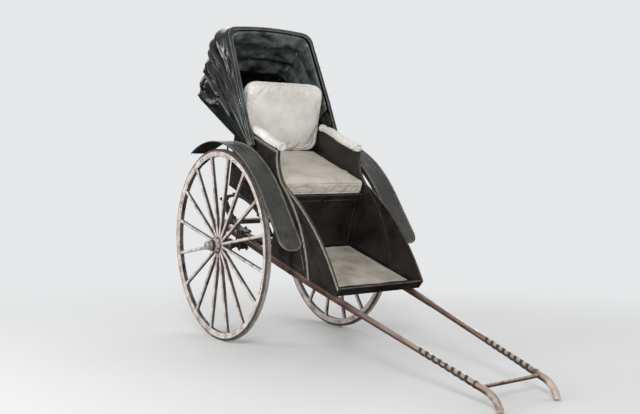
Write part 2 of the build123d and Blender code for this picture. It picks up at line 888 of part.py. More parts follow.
cloth_inside = hood_bows[0][2] + cloth_over_bow
cloth_under = hood_length + cloth_over_bow
curtain_slope = tan(radians(back_lean))
curtain_foot = curtain_gap + (back_y(hood_pivot[1]) - hood_pivot[0]) / (
    sin(radians(curtain_lean)) - curtain_slope * cos(radians(curtain_lean)))


def cloth_outline(layer, foot, crown_bulge=0, side_bulge=0):
    """Outline of one face of the cloth over a bow, its shoulders in three flats round the bow's."""
    half_width, top = cloth_inside + layer, cloth_under + layer + crown_bulge
    shoulder = top - hood_crown
    knee = half_width + side_bulge
    centre = (knee - hood_taper - hood_corner, shoulder - hood_corner)
    corner = hood_corner / cos(radians(shoulder_flats[0]))
    flats = [on_circle(corner, angle) for angle in shoulder_flats]
    left = [(half_width, foot), (knee, hood_knee), (knee - hood_taper, centre[1])]
    left += [(centre[0] + x, centre[1] + z) for x, z in flats]
    left.append((centre[0], shoulder))
    right = [(-x, z) for x, z in reversed(left)]
    with BuildSketch() as outline:
        with BuildLine():
            Polyline(*left)
            ThreePointArc(left[-1], (0, top), right[0])
            Polyline(*right)
            Line(right[-1], left[0])
        make_face()
    return outline.sketch


def cloth_form(leans, layer):
    """Solid under one face of a cloth panel that stands out between its two bows."""
    front, rear = leans
    foot = cloth_start if layer else cloth_start - cloth_foot_overrun
    with BuildPart() as form:
        for lean, out in ((front, 0), ((front + rear) / 2, 1), (rear, 0)):
            with BuildSketch(bow_plane(lean)):
                add(cloth_outline(layer, foot, out * cloth_bulge, out * cloth_side_bulge))
        loft(ruled=True)
    return form.part


def cloth_shell(front_lean, rear_lean):
    """Cloth between two bows."""
    leans = (front_lean, rear_lean)
    with BuildPart() as part:
        add(cloth_form(leans, cloth_thickness))
        add(cloth_form(leans, 0), mode=Mode.SUBTRACT)
    return part.part


def back_curtain():
    """Cloth behind the rear bow, closed under by a flap that meets the backrest."""
    with BuildPart() as part:
        add(cloth_shell(hood_bows[-1][1] + cloth_split, curtain_lean))
        with BuildSketch(bow_plane(curtain_lean)):
            add(cloth_outline(cloth_thickness, curtain_foot))
        extrude(amount=-cloth_thickness)
    return part.part


def hood_pivots():
    """Pins in the side panels that all the bows turn on."""
    with BuildPart() as part:
        for side in (RIGHT, LEFT):
            for start, radius, length in (
                (panel_outside, pivot_plate_radius, pivot_plate),
                (panel_outside, hood_pin_radius, cloth_inside - panel_outside),
                (cloth_inside, pin_head_radius, pin_head),
            ):
                with BuildSketch(side_plane(side * start)):
                    with Locations(hood_pivot):
                        Circle(radius)
                extrude(amount=side * length)
    return part.part


os.makedirs("parts", exist_ok=True)

for side, word in ((RIGHT, "right"), (LEFT, "left")):
    mount_wheel_piece(tyre(), side, f"{word}_tyre")
    mount_wheel_piece(rim(), side, f"{word}_rim")
    mount_wheel_piece(spokes(), side, f"{word}_spokes")
    mount_wheel_piece(hub(), side, f"{word}_hub")
    mount_wheel_piece(hub_cap(), side, f"{word}_hub_cap")
    park(side_panel(side), f"{word}_side_panel")
    park(mudguard(side), f"{word}_mudguard")

park(right_shaft(), "right_shaft")
park(left_shaft(), "left_shaft")
park(axle(), "axle")
park(springs(), "springs")
park(spring_clamps(), "spring_clamps")
park(tip_crossbar(), "tip_crossbar")
park(crossbar(front_bar_y, front_bar_size), "front_crossbar")
park(crossbar(rear_bar_y, rear_bar_size), "rear_crossbar")
park(sills(), "sills")
park(toe_panels(), "toe_panels")
park(seat_box(), "seat_box")
park(foot_riser(), "foot_riser")
park(seat_panel(), "seat_board")
park(back_panel(), "back_panel")
park(footboard(), "footboard")
park(toe_board(), "toe_board")
park(body_brackets(), "body_brackets")
park(seat_cushion(), "seat_cushion")
park(back_cushion(), "back_cushion")
park(arm_pads(), "arm_pads")
park(floor_mat(), "floor_mat")
park(guard_stay_pieces(), "guard_stays")
park(hood_pivots(), "hood_pivots")

for name, lean, half_width in hood_bows:
    park(hood_bow(lean, half_width), name)
for name, front, rear in zip(hood_panels, hood_bows, hood_bows[1:]):
    park(cloth_shell(front[1] + cloth_split, rear[1] - cloth_split), name)
park(back_curtain(), "hood_back_curtain")
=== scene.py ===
import json
import math

import bmesh
import bpy
from mathutils import Matrix, Vector, noise
from mathutils.bvhtree import BVHTree


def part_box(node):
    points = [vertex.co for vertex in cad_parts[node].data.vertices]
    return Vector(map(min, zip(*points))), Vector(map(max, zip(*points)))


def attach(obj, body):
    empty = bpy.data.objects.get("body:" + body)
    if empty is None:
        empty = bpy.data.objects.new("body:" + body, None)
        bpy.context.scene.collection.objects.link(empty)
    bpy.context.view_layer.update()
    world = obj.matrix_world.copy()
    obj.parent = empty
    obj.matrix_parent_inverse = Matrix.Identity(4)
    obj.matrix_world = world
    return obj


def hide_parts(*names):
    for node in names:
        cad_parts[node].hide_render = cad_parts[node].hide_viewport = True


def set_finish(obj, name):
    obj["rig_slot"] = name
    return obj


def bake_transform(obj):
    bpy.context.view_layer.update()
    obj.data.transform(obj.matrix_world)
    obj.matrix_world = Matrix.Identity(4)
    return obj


# Pulled rickshaw: looks and soft pieces on the fixed frame. Metres.
# Most shapes are drawn level, as the vehicle runs: origin at the middle of the axle,
# front towards -Y, right-hand side at -X. LEVEL leans them onto the parked frame.
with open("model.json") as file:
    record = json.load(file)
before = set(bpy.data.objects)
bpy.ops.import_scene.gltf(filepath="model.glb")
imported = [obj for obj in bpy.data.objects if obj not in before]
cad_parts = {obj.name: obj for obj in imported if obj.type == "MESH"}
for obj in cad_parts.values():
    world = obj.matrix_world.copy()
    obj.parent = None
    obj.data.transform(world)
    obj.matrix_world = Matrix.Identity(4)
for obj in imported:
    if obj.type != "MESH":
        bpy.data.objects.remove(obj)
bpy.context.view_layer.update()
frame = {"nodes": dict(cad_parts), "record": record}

RIGHT, LEFT = -1, 1
SIDES = ((RIGHT, "right"), (LEFT, "left"))
CORNERS = ((-1, -1), (1, -1), (1, 1), (-1, 1))
PARK_ANGLE = math.radians(19.299927)
axle_low, axle_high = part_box("axle")
AXLE = (axle_low + axle_high) / 2
LEVEL = Matrix.Translation((0, AXLE.y, AXLE.z)) @ Matrix.Rotation(PARK_ANGLE, 4, "X")

# Sizes that the frame also has
RIM_OUTSIDE = 0.536
RIM_INSIDE = 0.506
HALF_TRACK = 0.405
SPOKES = 16
SPOKE_STEP = 2 * math.pi / SPOKES
# direction of a spoke on each wheel, from rearwards up
FIRST_SPOKE = {RIGHT: math.radians(12.5), LEFT: math.radians(10)}
PANEL_OUTSIDE = 0.280
PANEL_INSIDE = 0.264
HOOD_PIVOT = (-0.030, 0.560)
HOOD_LENGTH = 0.825
HOOD_KNEE = 0.345
HOOD_TAPER = 0.014
HOOD_CORNER = 0.062
HOOD_CROWN = 0.014
CLOTH_HALF_WIDTH = 0.304
HOOD_COLUMNS = 250
BOW_LEANS = {"front": 43.0, "second": 52.0, "third": 60.5, "rear": 69.0}
CURTAIN_LEAN = 82.0
SHAFT_RISE = 0.075
SHAFT_OVER_AXLE = 0.036


def shaft_z(y):
    return SHAFT_OVER_AXLE - SHAFT_RISE * y


# Shapes: each function gives a list of points and a list of faces

def join(parts):
    points, faces = [], []
    for part_points, part_faces in parts:
        start = len(points)
        points += [Vector(p) for p in part_points]
        faces += [tuple(start + i for i in face) for face in part_faces]
    return points, faces


def moved(shape, matrix):
    points, faces = shape
    return [matrix @ Vector(p) for p in points], faces


def ring_faces(rows, columns, wrap_rows=False, wrap_columns=True):
    faces = []
    for i in range(rows if wrap_rows else rows - 1):
        for j in range(columns if wrap_columns else columns - 1):
            a, b = i * columns + j, i * columns + (j + 1) % columns
            c, d = ((i + 1) % rows) * columns + (j + 1) % columns, ((i + 1) % rows) * columns + j
            faces.append((a, b, c, d))
    return faces


def rod_faces(rings, sides, closed=False):
    """Faces of a row of rings, with a cap at each end unless the row closes on itself."""
    faces = ring_faces(rings, sides, wrap_rows=closed)
    if not closed:
        faces += [tuple(reversed(range(sides))), tuple(range((rings - 1) * sides, rings * sides))]
    return faces


def circle(centre, u, v, radius, sides):
    """Points round a circle in the plane of two directions."""
    turns = [2 * math.pi * k / sides for k in range(sides)]
    return [centre + (u * math.cos(turn) + v * math.sin(turn)) * radius for turn in turns]


def square_to(out):
    """A direction made one long, and two more at right angles to it."""
    out = Vector(out).normalized()
    u = out.orthogonal().normalized()
    return out, u, out.cross(u)


def direction_at(path, i, closed):
    """Direction of a path at its point i, from the point before it to the point after it."""
    count = len(path)
    before = path[i - 1] if i or closed else path[0]
    after = path[(i + 1) % count] if i + 1 < count or closed else path[-1]
    return (after - before).normalized()


def lathe(outline, segments=48):
    """Turned shape round X: outline holds (along, radius)."""
    points = []
    for along, radius in outline:
        points += circle(Vector((along, 0, 0)), Vector((0, 1, 0)), Vector((0, 0, 1)), radius, segments)
    return points, rod_faces(len(outline), segments)


def tube(path, radius, sides, closed=False):
    """Round rod along a path; radius is one number or a list with one for each point."""
    path = [Vector(p) for p in path]
    radii = radius if isinstance(radius, list) else [radius] * len(path)
    normal = direction_at(path, 0, closed).orthogonal().normalized()
    points = []
    for i, here in enumerate(path):
        along = direction_at(path, i, closed)
        normal = (normal - along * normal.dot(along)).normalized()
        points += circle(here, normal, along.cross(normal), radii[i], sides)
    return points, rod_faces(len(path), sides, closed)


def sweep(path, outward, section, closed=False):
    """Strip along a path, with an outward direction for each point, of a section of (out, across) points.

    section may also be a list with one section for each point."""
    path = [Vector(p) for p in path]
    sections = section if isinstance(section[0][0], tuple) else [section] * len(path)
    points = []
    for i, here in enumerate(path):
        along = direction_at(path, i, closed)
        out = Vector(outward[i])
        out = (out - along * out.dot(along)).normalized()
        across = along.cross(out)
        points += [here + out * u + across * v for u, v in sections[i]]
    return points, rod_faces(len(path), len(sections[0]), closed)


def arc_through(p, q, r, count):
    """Points of the circular arc from p through q to r, as (y, z) pairs."""
    (px, py), (qx, qy), (rx, ry) = p, q, r
    d = 2 * (px * (qy - ry) + qx * (ry - py) + rx * (py - qy))
    p2, q2, r2 = px * px + py * py, qx * qx + qy * qy, rx * rx + ry * ry
    cx = (p2 * (qy - ry) + q2 * (ry - py) + r2 * (py - qy)) / d
    cy = (p2 * (rx - qx) + q2 * (px - rx) + r2 * (qx - px)) / d
    radius = math.hypot(px - cx, py - cy)
    start, middle, end = (math.atan2(y - cy, x - cx) for x, y in (p, q, r))
    turn = 2 * math.pi
    swing = (end - start) % turn
    if (middle - start) % turn > swing:
        swing -= turn
    return [(cx + radius * math.cos(start + swing * i / (count - 1)),
             cy + radius * math.sin(start + swing * i / (count - 1))) for i in range(count)]


def dome(centre, out, radius, height, sides=12, rings=3):
    """Low rivet or bolt head that stands on a surface."""
    out, u, v = square_to(out)
    centre = Vector(centre)
    points = []
    for i in range(rings):
        tilt = math.pi / 2 * i / rings
        points += circle(centre + out * height * math.sin(tilt), u, v, radius * math.cos(tilt), sides)
    points.append(centre + out * height)
    top = rings * sides
    faces = ring_faces(rings, sides)
    faces += [(top - sides + k, top - sides + (k + 1) % sides, top) for k in range(sides)]
    faces.append(tuple(reversed(range(sides))))
    return points, faces


def nut(centre, out, across_flats, height, bolt):
    """Hexagon nut with chamfered corners and the end of its bolt."""
    out, u, v = square_to(out)
    centre = Vector(centre)
    radius = across_flats / 2 / math.cos(math.pi / 6)
    points = []
    for level, size in ((0, 1.0), (0.78, 1.0), (1.0, 0.86)):
        points += circle(centre + out * height * level, u, v, radius * size, 6)
    end = tube([centre + out * height * 0.9, centre + out * height * (1 + bolt)], across_flats * 0.27, 10)
    return join([(points, rod_faces(3, 6)), end])


# Materials

def set_inputs(tree, node, inputs):
    """Joins each input to a socket or gives it a plain value."""
    for name, value in inputs.items():
        if isinstance(value, bpy.types.NodeSocket):
            tree.links.new(value, node.inputs[name])
        else:
            node.inputs[name].default_value = value


def add_node(tree, kind, inputs, **settings):
    """Adds a shader node and gives its outputs."""
    node = tree.nodes.new("ShaderNode" + kind)
    for name, value in settings.items():
        setattr(node, name, value)
    set_inputs(tree, node, inputs)
    return node.outputs


def level_coordinates(tree):
    """Coordinates as the vehicle runs, so that grain and wear follow its length."""
    place = add_node(tree, "TexCoord", {})["Object"]
    shift = Matrix.Rotation(-PARK_ANGLE, 4, "X") @ Vector((0, -AXLE.y, -AXLE.z))
    inputs = {"Vector": place, "Rotation": (-PARK_ANGLE, 0, 0), "Location": shift}
    return add_node(tree, "Mapping", inputs)["Vector"]


def stretched(tree, vector, scale):
    return add_node(tree, "Mapping", {"Vector": vector, "Scale": scale})["Vector"]


def noise_of(tree, vector, scale, detail, roughness=0.55, distortion=0.0):
    inputs = {"Vector": vector, "Scale": scale, "Detail": detail, "Roughness": roughness,
              "Distortion": distortion}
    return add_node(tree, "TexNoise", inputs)["Fac"]


def wave_of(tree, vector, direction, scale, distortion=0.0):
    inputs = {"Vector": vector, "Scale": scale, "Distortion": distortion}
    return add_node(tree, "TexWave", inputs, bands_direction=direction)["Fac"]


def ramp_of(tree, value, stops):
    node = tree.nodes.new("ShaderNodeValToRGB")
    elements = node.color_ramp.elements
    while len(elements) < len(stops):
        elements.new(0.5)
    for element, (position, colour) in zip(elements, stops):
        element.position = position
        element.color = (*colour, 1)
    tree.links.new(value, node.inputs["Fac"])
    return node.outputs["Color"]


def blended(tree, factor, below, above):
    """Mix of two colours, each a socket or a plain colour; 6, 7 and 2 are a Mix node's colour sockets."""
    below, above = (c if isinstance(c, bpy.types.NodeSocket) else (*c, 1) for c in (below, above))
    return add_node(tree, "Mix", {"Factor": factor, 6: below, 7: above}, data_type="RGBA")[2]


def maths(tree, operation, first, second=None, clamp=False):
    inputs = {0: first} if second is None else {0: first, 1: second}
    return add_node(tree, "Math", inputs, operation=operation, use_clamp=clamp)["Value"]


def times(tree, first, second):
    return maths(tree, "MULTIPLY", first, second)


def parts_of(tree, vector):
    return add_node(tree, "SeparateXYZ", {"Vector": vector})


def range_of(tree, value, low, high):
    """0 at low, 1 at high, smooth between."""
    inputs = {"Value": value, "From Min": low, "From Max": high}
    return add_node(tree, "MapRange", inputs, interpolation_type="SMOOTHSTEP")["Result"]


def bump_of(tree, height, strength, distance):
    return add_node(tree, "Bump", {"Height": height, "Strength": strength, "Distance": distance})["Normal"]


def new_material(name):
    material = bpy.data.materials.new(name)
    material.use_nodes = True
    return material, material.node_tree


def finished(material, inputs):
    """Gives a material's shader its inputs."""
    tree = material.node_tree
    set_inputs(tree, tree.nodes["Principled BSDF"], inputs)
    return material


def surface(tree, output="Normal"):
    return add_node(tree, "NewGeometry", {})[output]


def upward(tree):
    """How far a surface faces up."""
    return parts_of(tree, surface(tree))["Z"]


def sideways(tree):
    """How far a surface faces right or left, which spinning a wheel doesn't change."""
    return maths(tree, "ABSOLUTE", parts_of(tree, surface(tree))["X"])


def with_worn_edges(tree, colour, under, radius, vector, amount):
    """What lies under the paint, shown at edges and corners and broken up by noise."""
    rounded = add_node(tree, "Bevel", {"Radius": radius}, samples=6)["Normal"]
    same = add_node(tree, "VectorMath", {0: rounded, 1: surface(tree)}, operation="DOT_PRODUCT")["Value"]
    edge = range_of(tree, maths(tree, "SUBTRACT", 1.0, same), 0.02, 0.16)
    patches = range_of(tree, noise_of(tree, vector, 38, 6), 0.42, 0.62)
    return blended(tree, times(tree, times(tree, edge, patches), amount), colour, under)


def with_dust(tree, colour, dust, vector, amount, low=0.35):
    """Pale dust on what faces up, thicker in patches."""
    lying = range_of(tree, upward(tree), low, 1.0)
    patches = range_of(tree, noise_of(tree, vector, 11, 6), 0.35, 0.7)
    return blended(tree, times(tree, times(tree, lying, patches), amount), colour, dust)


DUST, GREY_DUST = (0.42, 0.37, 0.31), (0.25, 0.245, 0.21)
WEATHERED_GRAIN, UNDERCOAT = (0.17, 0.13, 0.115), (0.10, 0.06, 0.045)
# the first of these is the shafts' paler tops: hand wear together with painted light on their upper faces
RUBBED_AND_LIT_WOOD, BARE_WOOD, WORN_LACQUER = (0.36, 0.265, 0.205), (0.47, 0.385, 0.325), (0.27, 0.18, 0.12)
RUST, BARE_IRON = (0.20, 0.085, 0.040), (0.30, 0.27, 0.24)
# where along the vehicle the wear of the shafts begins and is full
HANDLED_SHAFT, WORN_TIP = (-1.05, -1.75), (-1.955, -1.99)


def wheel_wood():
    """Painted wood gone pale with road dust on its faces; its sides darker, partly from weathering and
    partly painted shade.
    """
    material, tree = new_material("wheel_wood")
    place = level_coordinates(tree)
    xyz = parts_of(tree, place)
    turn = maths(tree, "ARCTAN2", xyz["Z"], xyz["Y"])
    scales = ((turn, 26.0), (xyz["X"], 90.0), (xyz["Z"], 3.0))
    scaled = [times(tree, value, scale) for value, scale in scales]
    round_wheel = dict(zip("XYZ", scaled))
    grain = noise_of(tree, add_node(tree, "CombineXYZ", round_wheel)["Vector"], 1.0, 4)
    patches = noise_of(tree, place, 17, 7, 0.62)
    pale = ramp_of(tree, patches, [(0.30, (0.20, 0.165, 0.15)), (0.47, (0.44, 0.385, 0.355)),
                                   (0.60, (0.57, 0.515, 0.48)), (0.75, (0.66, 0.60, 0.56))])
    side_shade_and_wear = ramp_of(tree, patches, [(0.35, (0.026, 0.020, 0.018)), (0.70, (0.125, 0.102, 0.092))])
    # the darker sides are partly weathering and partly painted shade, standing in for the light they get
    # less of than the faces
    colour = blended(tree, range_of(tree, sideways(tree), 0.25, 0.75), side_shade_and_wear, pale)
    streaks = times(tree, range_of(tree, grain, 0.52, 0.70), 0.45)
    colour = blended(tree, streaks, colour, WEATHERED_GRAIN)
    colour = with_worn_edges(tree, colour, UNDERCOAT, 0.0025, place, 0.55)
    bump = bump_of(tree, maths(tree, "ADD", grain, times(tree, patches, 0.6)), 0.35, 0.0012)
    return finished(material, {"Base Color": colour, "Roughness": 0.78, "Normal": bump})


def with_handled_tips_and_lit_tops(tree, colour, place, grain, patches):
    """Shaft lacquer paler on its upper faces, partly painted light on the tops and partly rubbed off by
    hands towards the tips, and worn to the wood at their ends.
    """
    y = parts_of(tree, place)["Y"]
    reach = times(tree, range_of(tree, y, *HANDLED_SHAFT), 0.7)
    # upper faces paler along the whole shaft: painted light on the tops, with hand wear added towards the
    # tips
    top = range_of(tree, upward(tree), -0.15, 0.8)
    rubbed_and_lit = times(tree, top, range_of(tree, grain, 0.30, 0.62))
    colour = blended(tree, times(tree, rubbed_and_lit, maths(tree, "ADD", 0.25, reach)), colour, RUBBED_AND_LIT_WOOD)
    ends = times(tree, range_of(tree, y, *WORN_TIP), range_of(tree, patches, 0.36, 0.60))
    return blended(tree, ends, colour, BARE_WOOD)


def dark_wood(name, base, light, dust, handled_and_lit=False):
    """Lacquered wood with its grain along the vehicle, rubbed at the edges."""
    material, tree = new_material(name)
    place = level_coordinates(tree)
    grain = noise_of(tree, stretched(tree, place, (1, 0.07, 1)), 62, 5, 0.6, 0.4)
    patches = noise_of(tree, place, 9, 6, 0.6)
    colour = ramp_of(tree, patches, [(0.30, base), (0.72, light)])
    streaks = times(tree, range_of(tree, grain, 0.55, 0.75), 0.5)
    colour = blended(tree, streaks, colour, tuple(c * 0.35 for c in base))
    if handled_and_lit:
        colour = with_handled_tips_and_lit_tops(tree, colour, place, grain, patches)
    colour = with_worn_edges(tree, colour, WORN_LACQUER, 0.004, place, 0.65)
    colour = with_dust(tree, colour, DUST, place, dust)
    rough = ramp_of(tree, patches, [(0.3, (0.24,) * 3), (0.75, (0.55,) * 3)])
    bump = bump_of(tree, grain, 0.22, 0.0008)
    return finished(material, {"Base Color": colour, "Roughness": rough, "Normal": bump})


def iron(name="iron", base=(0.030, 0.028, 0.026), rust=0.45):
    """Painted iron with rust at its edges and in its corners."""
    material, tree = new_material(name)
    place = level_coordinates(tree)
    patches = noise_of(tree, place, 30, 7, 0.65)
    colour = ramp_of(tree, patches, [(0.35, base), (0.75, tuple(c * 2.4 for c in base))])
    colour = blended(tree, times(tree, range_of(tree, patches, 0.52, 0.68), rust), colour, RUST)
    colour = with_worn_edges(tree, colour, BARE_IRON, 0.002, place, 0.5)
    colour = with_dust(tree, colour, DUST, place, 0.35)
    rough = ramp_of(tree, patches, [(0.35, (0.33,) * 3), (0.7, (0.72,) * 3)])
    bump = bump_of(tree, patches, 0.35, 0.0010)
    return finished(material, {"Base Color": colour, "Metallic": 0.45, "Roughness": rough, "Normal": bump})


def tyre_rubber():
    """Solid tyre, black under dust, paler where it meets the road."""
    material, tree = new_material("tyre")
    place = level_coordinates(tree)
    patches = noise_of(tree, place, 24, 7, 0.62)
    fine = noise_of(tree, place, 420, 3)
    side = ramp_of(tree, patches, [(0.35, (0.022, 0.021, 0.020)), (0.72, (0.115, 0.10, 0.088))])
    tread = ramp_of(tree, patches, [(0.30, (0.16, 0.14, 0.12)), (0.70, (0.40, 0.36, 0.31))])
    colour = blended(tree, range_of(tree, sideways(tree), 0.30, 0.62), tread, side)
    bump = bump_of(tree, maths(tree, "ADD", times(tree, fine, 0.4), patches), 0.3, 0.0010)
    return finished(material, {"Base Color": colour, "Roughness": 0.86, "Normal": bump})


def cotton(name, colour_low, colour_high, weave=900.0):
    """Plain-woven cotton."""
    material, tree = new_material(name)
    place = level_coordinates(tree)
    warp = wave_of(tree, place, "X", weave / 20, 0.6)
    weft = wave_of(tree, stretched(tree, place, (0.05, 1, 1)), "DIAGONAL", weave / 26, 0.6)
    threads = maths(tree, "ADD", warp, weft)
    stains = noise_of(tree, place, 7, 7, 0.6)
    colour = ramp_of(tree, stains, [(0.32, colour_low), (0.66, colour_high)])
    shade = times(tree, range_of(tree, threads, 0.2, 1.4), 0.05)
    colour = blended(tree, shade, colour, tuple(c * 0.72 for c in colour_low))
    creases = noise_of(tree, place, 34, 4, 0.5, 0.8)
    bump = bump_of(tree, maths(tree, "ADD", times(tree, threads, 0.10), creases), 0.35, 0.0018)
    return finished(material, {"Base Color": colour, "Roughness": 0.9, "Sheen Weight": 0.25,
                               "Normal": bump})


def oiled_cloth(name, base, light, gloss, dust=0.20):
    """Black oilcloth or lacquered hide: glossy, cracked and dusty in its creases, paler on its ridges,
    partly from wear and partly painted highlight.
    """
    material, tree = new_material(name)
    place = level_coordinates(tree)
    patches = noise_of(tree, place, 12, 7, 0.62, 0.5)
    creases = noise_of(tree, place, 21, 4, 0.55, 1.0)
    grain = noise_of(tree, place, 520, 2)
    between = tuple((a + b) / 2 for a, b in zip(base, light))
    colour = ramp_of(tree, patches, [(0.34, base), (0.60, between), (0.78, light)])
    # convex ridges paler: partly wear and partly painted highlight along the ridges of the folds
    ridge = surface(tree, "Pointiness")
    rubbed_and_lit = times(tree, range_of(tree, ridge, 0.515, 0.60), range_of(tree, patches, 0.30, 0.60))
    colour = blended(tree, times(tree, rubbed_and_lit, 0.7), colour, tuple(c * 0.6 + 0.045 for c in light))
    colour = with_dust(tree, colour, GREY_DUST, place, dust, 0.55)
    rough = ramp_of(tree, creases, [(0.30, (gloss,) * 3), (0.72, (gloss + 0.18,) * 3)])
    bump = bump_of(tree, maths(tree, "ADD", times(tree, grain, 0.03), creases), 0.30, 0.0045)
    return finished(material, {"Base Color": colour, "Roughness": rough, "Coat Weight": 0.35,
                               "Coat Roughness": 0.16, "Normal": bump})


def woven_mat():
    """Coarse fibre mat, darker between its threads with painted shade in the hollows of the weave."""
    material, tree = new_material("mat")
    place = level_coordinates(tree)
    height = maths(tree, "ADD", wave_of(tree, place, "X", 34), wave_of(tree, place, "Y", 24))
    stains = noise_of(tree, place, 8, 7, 0.6)
    colour = ramp_of(tree, stains, [(0.30, (0.33, 0.29, 0.22)), (0.62, (0.60, 0.56, 0.47))])
    # painted shade in the low places between the threads
    between = times(tree, range_of(tree, height, 1.3, 0.4), 0.45)
    colour = blended(tree, between, colour, (0.22, 0.19, 0.14))
    bump = bump_of(tree, height, 0.6, 0.0025)
    return finished(material, {"Base Color": colour, "Roughness": 0.95, "Normal": bump})


MATERIALS = {
    "tyre": tyre_rubber(),
    "wheel_wood": wheel_wood(),
    "hub_wood": dark_wood("hub_wood", (0.19, 0.16, 0.148), (0.46, 0.405, 0.375), 0.35),
    "iron": iron(),
    "shaft_wood": dark_wood("shaft_wood", (0.036, 0.019, 0.014), (0.095, 0.052, 0.038), 0.20, True),
    "body_wood": dark_wood("body_wood", (0.0065, 0.0050, 0.0045), (0.026, 0.021, 0.019), 0.12),
    "seat_cloth": cotton("seat_cloth", (0.40, 0.36, 0.30), (0.56, 0.52, 0.45)),
    "white_cloth": cotton("white_cloth", (0.54, 0.51, 0.46), (0.72, 0.70, 0.66)),
    "mat": woven_mat(),
    "guard_leather": oiled_cloth("guard_leather", (0.0055, 0.0054, 0.0042), (0.026, 0.023, 0.017),
                                 0.34, 0.07),
    "bow_iron": iron("bow_iron", (0.022, 0.022, 0.021), 0.18),
    "hood_cloth": oiled_cloth("hood_cloth", (0.0030, 0.0036, 0.0032), (0.013, 0.0155, 0.014), 0.23, 0.05),
}
PIPING = oiled_cloth("hood_piping", (0.07, 0.075, 0.068), (0.20, 0.21, 0.19), 0.42)
# the pale grey-green end of the lining's colour is painted sheen: its highlights put into the colour
LINING = oiled_cloth("hood_lining", (0.010, 0.013, 0.0115), (0.200, 0.230, 0.208), 0.24, 0.0)
THREAD = cotton("thread", (0.30, 0.27, 0.22), (0.45, 0.41, 0.34), 2600.0)
BRASS = iron("old_brass", (0.17, 0.12, 0.05), 0.10)
BEAD = oiled_cloth("edge_bead", (0.21, 0.195, 0.165), (0.42, 0.40, 0.35), 0.36)
EDGE_HIDE = oiled_cloth("edge_hide", (0.055, 0.050, 0.040), (0.20, 0.18, 0.145), 0.42)
TAPE = cotton("tape", (0.010, 0.008, 0.007), (0.035, 0.027, 0.022), 2600.0)
CAP_METAL = iron("cap_metal", (0.27, 0.24, 0.22), 0.12)


def paint_frame():
    """Every node of the frame takes the material of its slot."""
    for row in frame["record"]["subparts"]:
        mesh = frame["nodes"][row["node"]].data
        mesh.materials.clear()
        mesh.materials.append(MATERIALS[row["material_slot"]])
    for _, word in SIDES:
        frame["nodes"][f"{word}_hub_cap"].data.materials[0] = CAP_METAL


def linked(name, data):
    """New object in the scene."""
    thing = bpy.data.objects.new(name, data)
    bpy.context.scene.collection.objects.link(thing)
    return thing


def new_piece(name, shape, slot, body=None, material=None, level=True, smooth=38):
    """Makes a mesh object from points and faces and sets it on a body."""
    points, faces = shape
    mesh = bpy.data.meshes.new(name)
    mesh.from_pydata([tuple(p) for p in points], [], faces)
    if level:
        mesh.transform(LEVEL)
    work = bmesh.new()
    work.from_mesh(mesh)
    bmesh.ops.recalc_face_normals(work, faces=work.faces)
    work.to_mesh(mesh)
    work.free()
    mesh.materials.append(material or MATERIALS[slot])
    piece = linked(name, mesh)
    for polygon in mesh.polygons:
        polygon.use_smooth = True
    mesh.set_sharp_from_angle(angle=math.radians(smooth))
    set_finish(piece, slot)
    if body:
        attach(piece, body)
    return piece


def apply_modifiers(piece):
    """Freezes an object's modifiers into its mesh."""
    graph = bpy.context.evaluated_depsgraph_get()
    mesh = bpy.data.meshes.new_from_object(piece.evaluated_get(graph))
    piece.modifiers.clear()
    piece.data = mesh


# Nuts: across flats, height, and how far the bolt stands out of it as a share of the height
FLANGE_NUT, CAP_PLUG, PIN_NUT = (0.0085, 0.005, 0.35), (0.014, 0.006, 0.3), (0.017, 0.0055, 0.4)
EYE_NUT, CLAMP_LOW_NUT, CLAMP_HIGH_NUT = (0.015, 0.006, 0.35), (0.014, 0.007, 0.9), (0.014, 0.006, 0.4)
BRACKET_NUT, BRACKET_RIVET = (0.020, 0.008, 0.5), (0.009, 0.004, 0.4)


# Wheels

def wheel_place(side):
    """From a wheel drawn round its own X axis, outboard at +X, to its place in the frame."""
    hub = Matrix.Translation(AXLE + Vector((side * HALF_TRACK, 0, 0)))
    return hub @ Matrix.Rotation(FIRST_SPOKE[side], 4, "X") @ Matrix.Scale(side, 4, (1, 0, 0))


def on_wheel(turn, radius, x=0.0):
    """Point at a radius and an angle round X, the angle from +Y towards +Z."""
    return Vector((x, radius * math.cos(turn), radius * math.sin(turn)))


# half-way between two spokes, at every second gap
JOINTS = [SPOKE_STEP * (2 * k + 0.5) for k in range(SPOKES // 2)]
# rings on the hub and on its cap: along, radius, width, thickness
HUB_HOOPS = [(-0.062, 0.032, 0.017, 0.0028), (0.053, 0.030, 0.015, 0.0028),
             (-0.026, 0.0465, 0.006, 0.0022), (0.023, 0.0465, 0.006, 0.0022)]
CAP_RIBS = [(0.066, 0.0245, 0.006, 0.002), (0.074, 0.0245, 0.003, 0.0014)]
FLANGE_BOLT_RADIUS, FLANGE_BOLT_X = 0.0395, 0.0295
# the bolts of a rim joint: how far round the rim from the joint, radius, height
RIM_BOLT_TURN, RIM_BOLT_RADIUS, RIM_BOLT_RISE = 0.028, 0.0048, 0.0026
# collar where a spoke enters the rim: beyond the rim's inside, radius
SHOULDER = [(-0.030, 0.0093), (-0.020, 0.0118), (0.001, 0.0130)]
CAP_END = 0.0915
RIM_MIDDLE, RIM_FACE = (RIM_OUTSIDE + RIM_INSIDE) / 2, 0.0168
JOINT_PLATE = [(-0.001, -0.010), (0.0022, -0.010), (0.0022, 0.010), (-0.001, 0.010)]


def hoop(along, radius, width, thickness):
    """Outline of a ring with chamfered edges, let a little into what it goes round."""
    half, foot, top = width / 2, radius - 0.002, radius + thickness
    lip = thickness * 0.4
    return [(along - half, foot), (along - half, top - lip), (along - half + lip, top),
            (along + half - lip, top), (along + half, top - lip), (along + half, foot)]


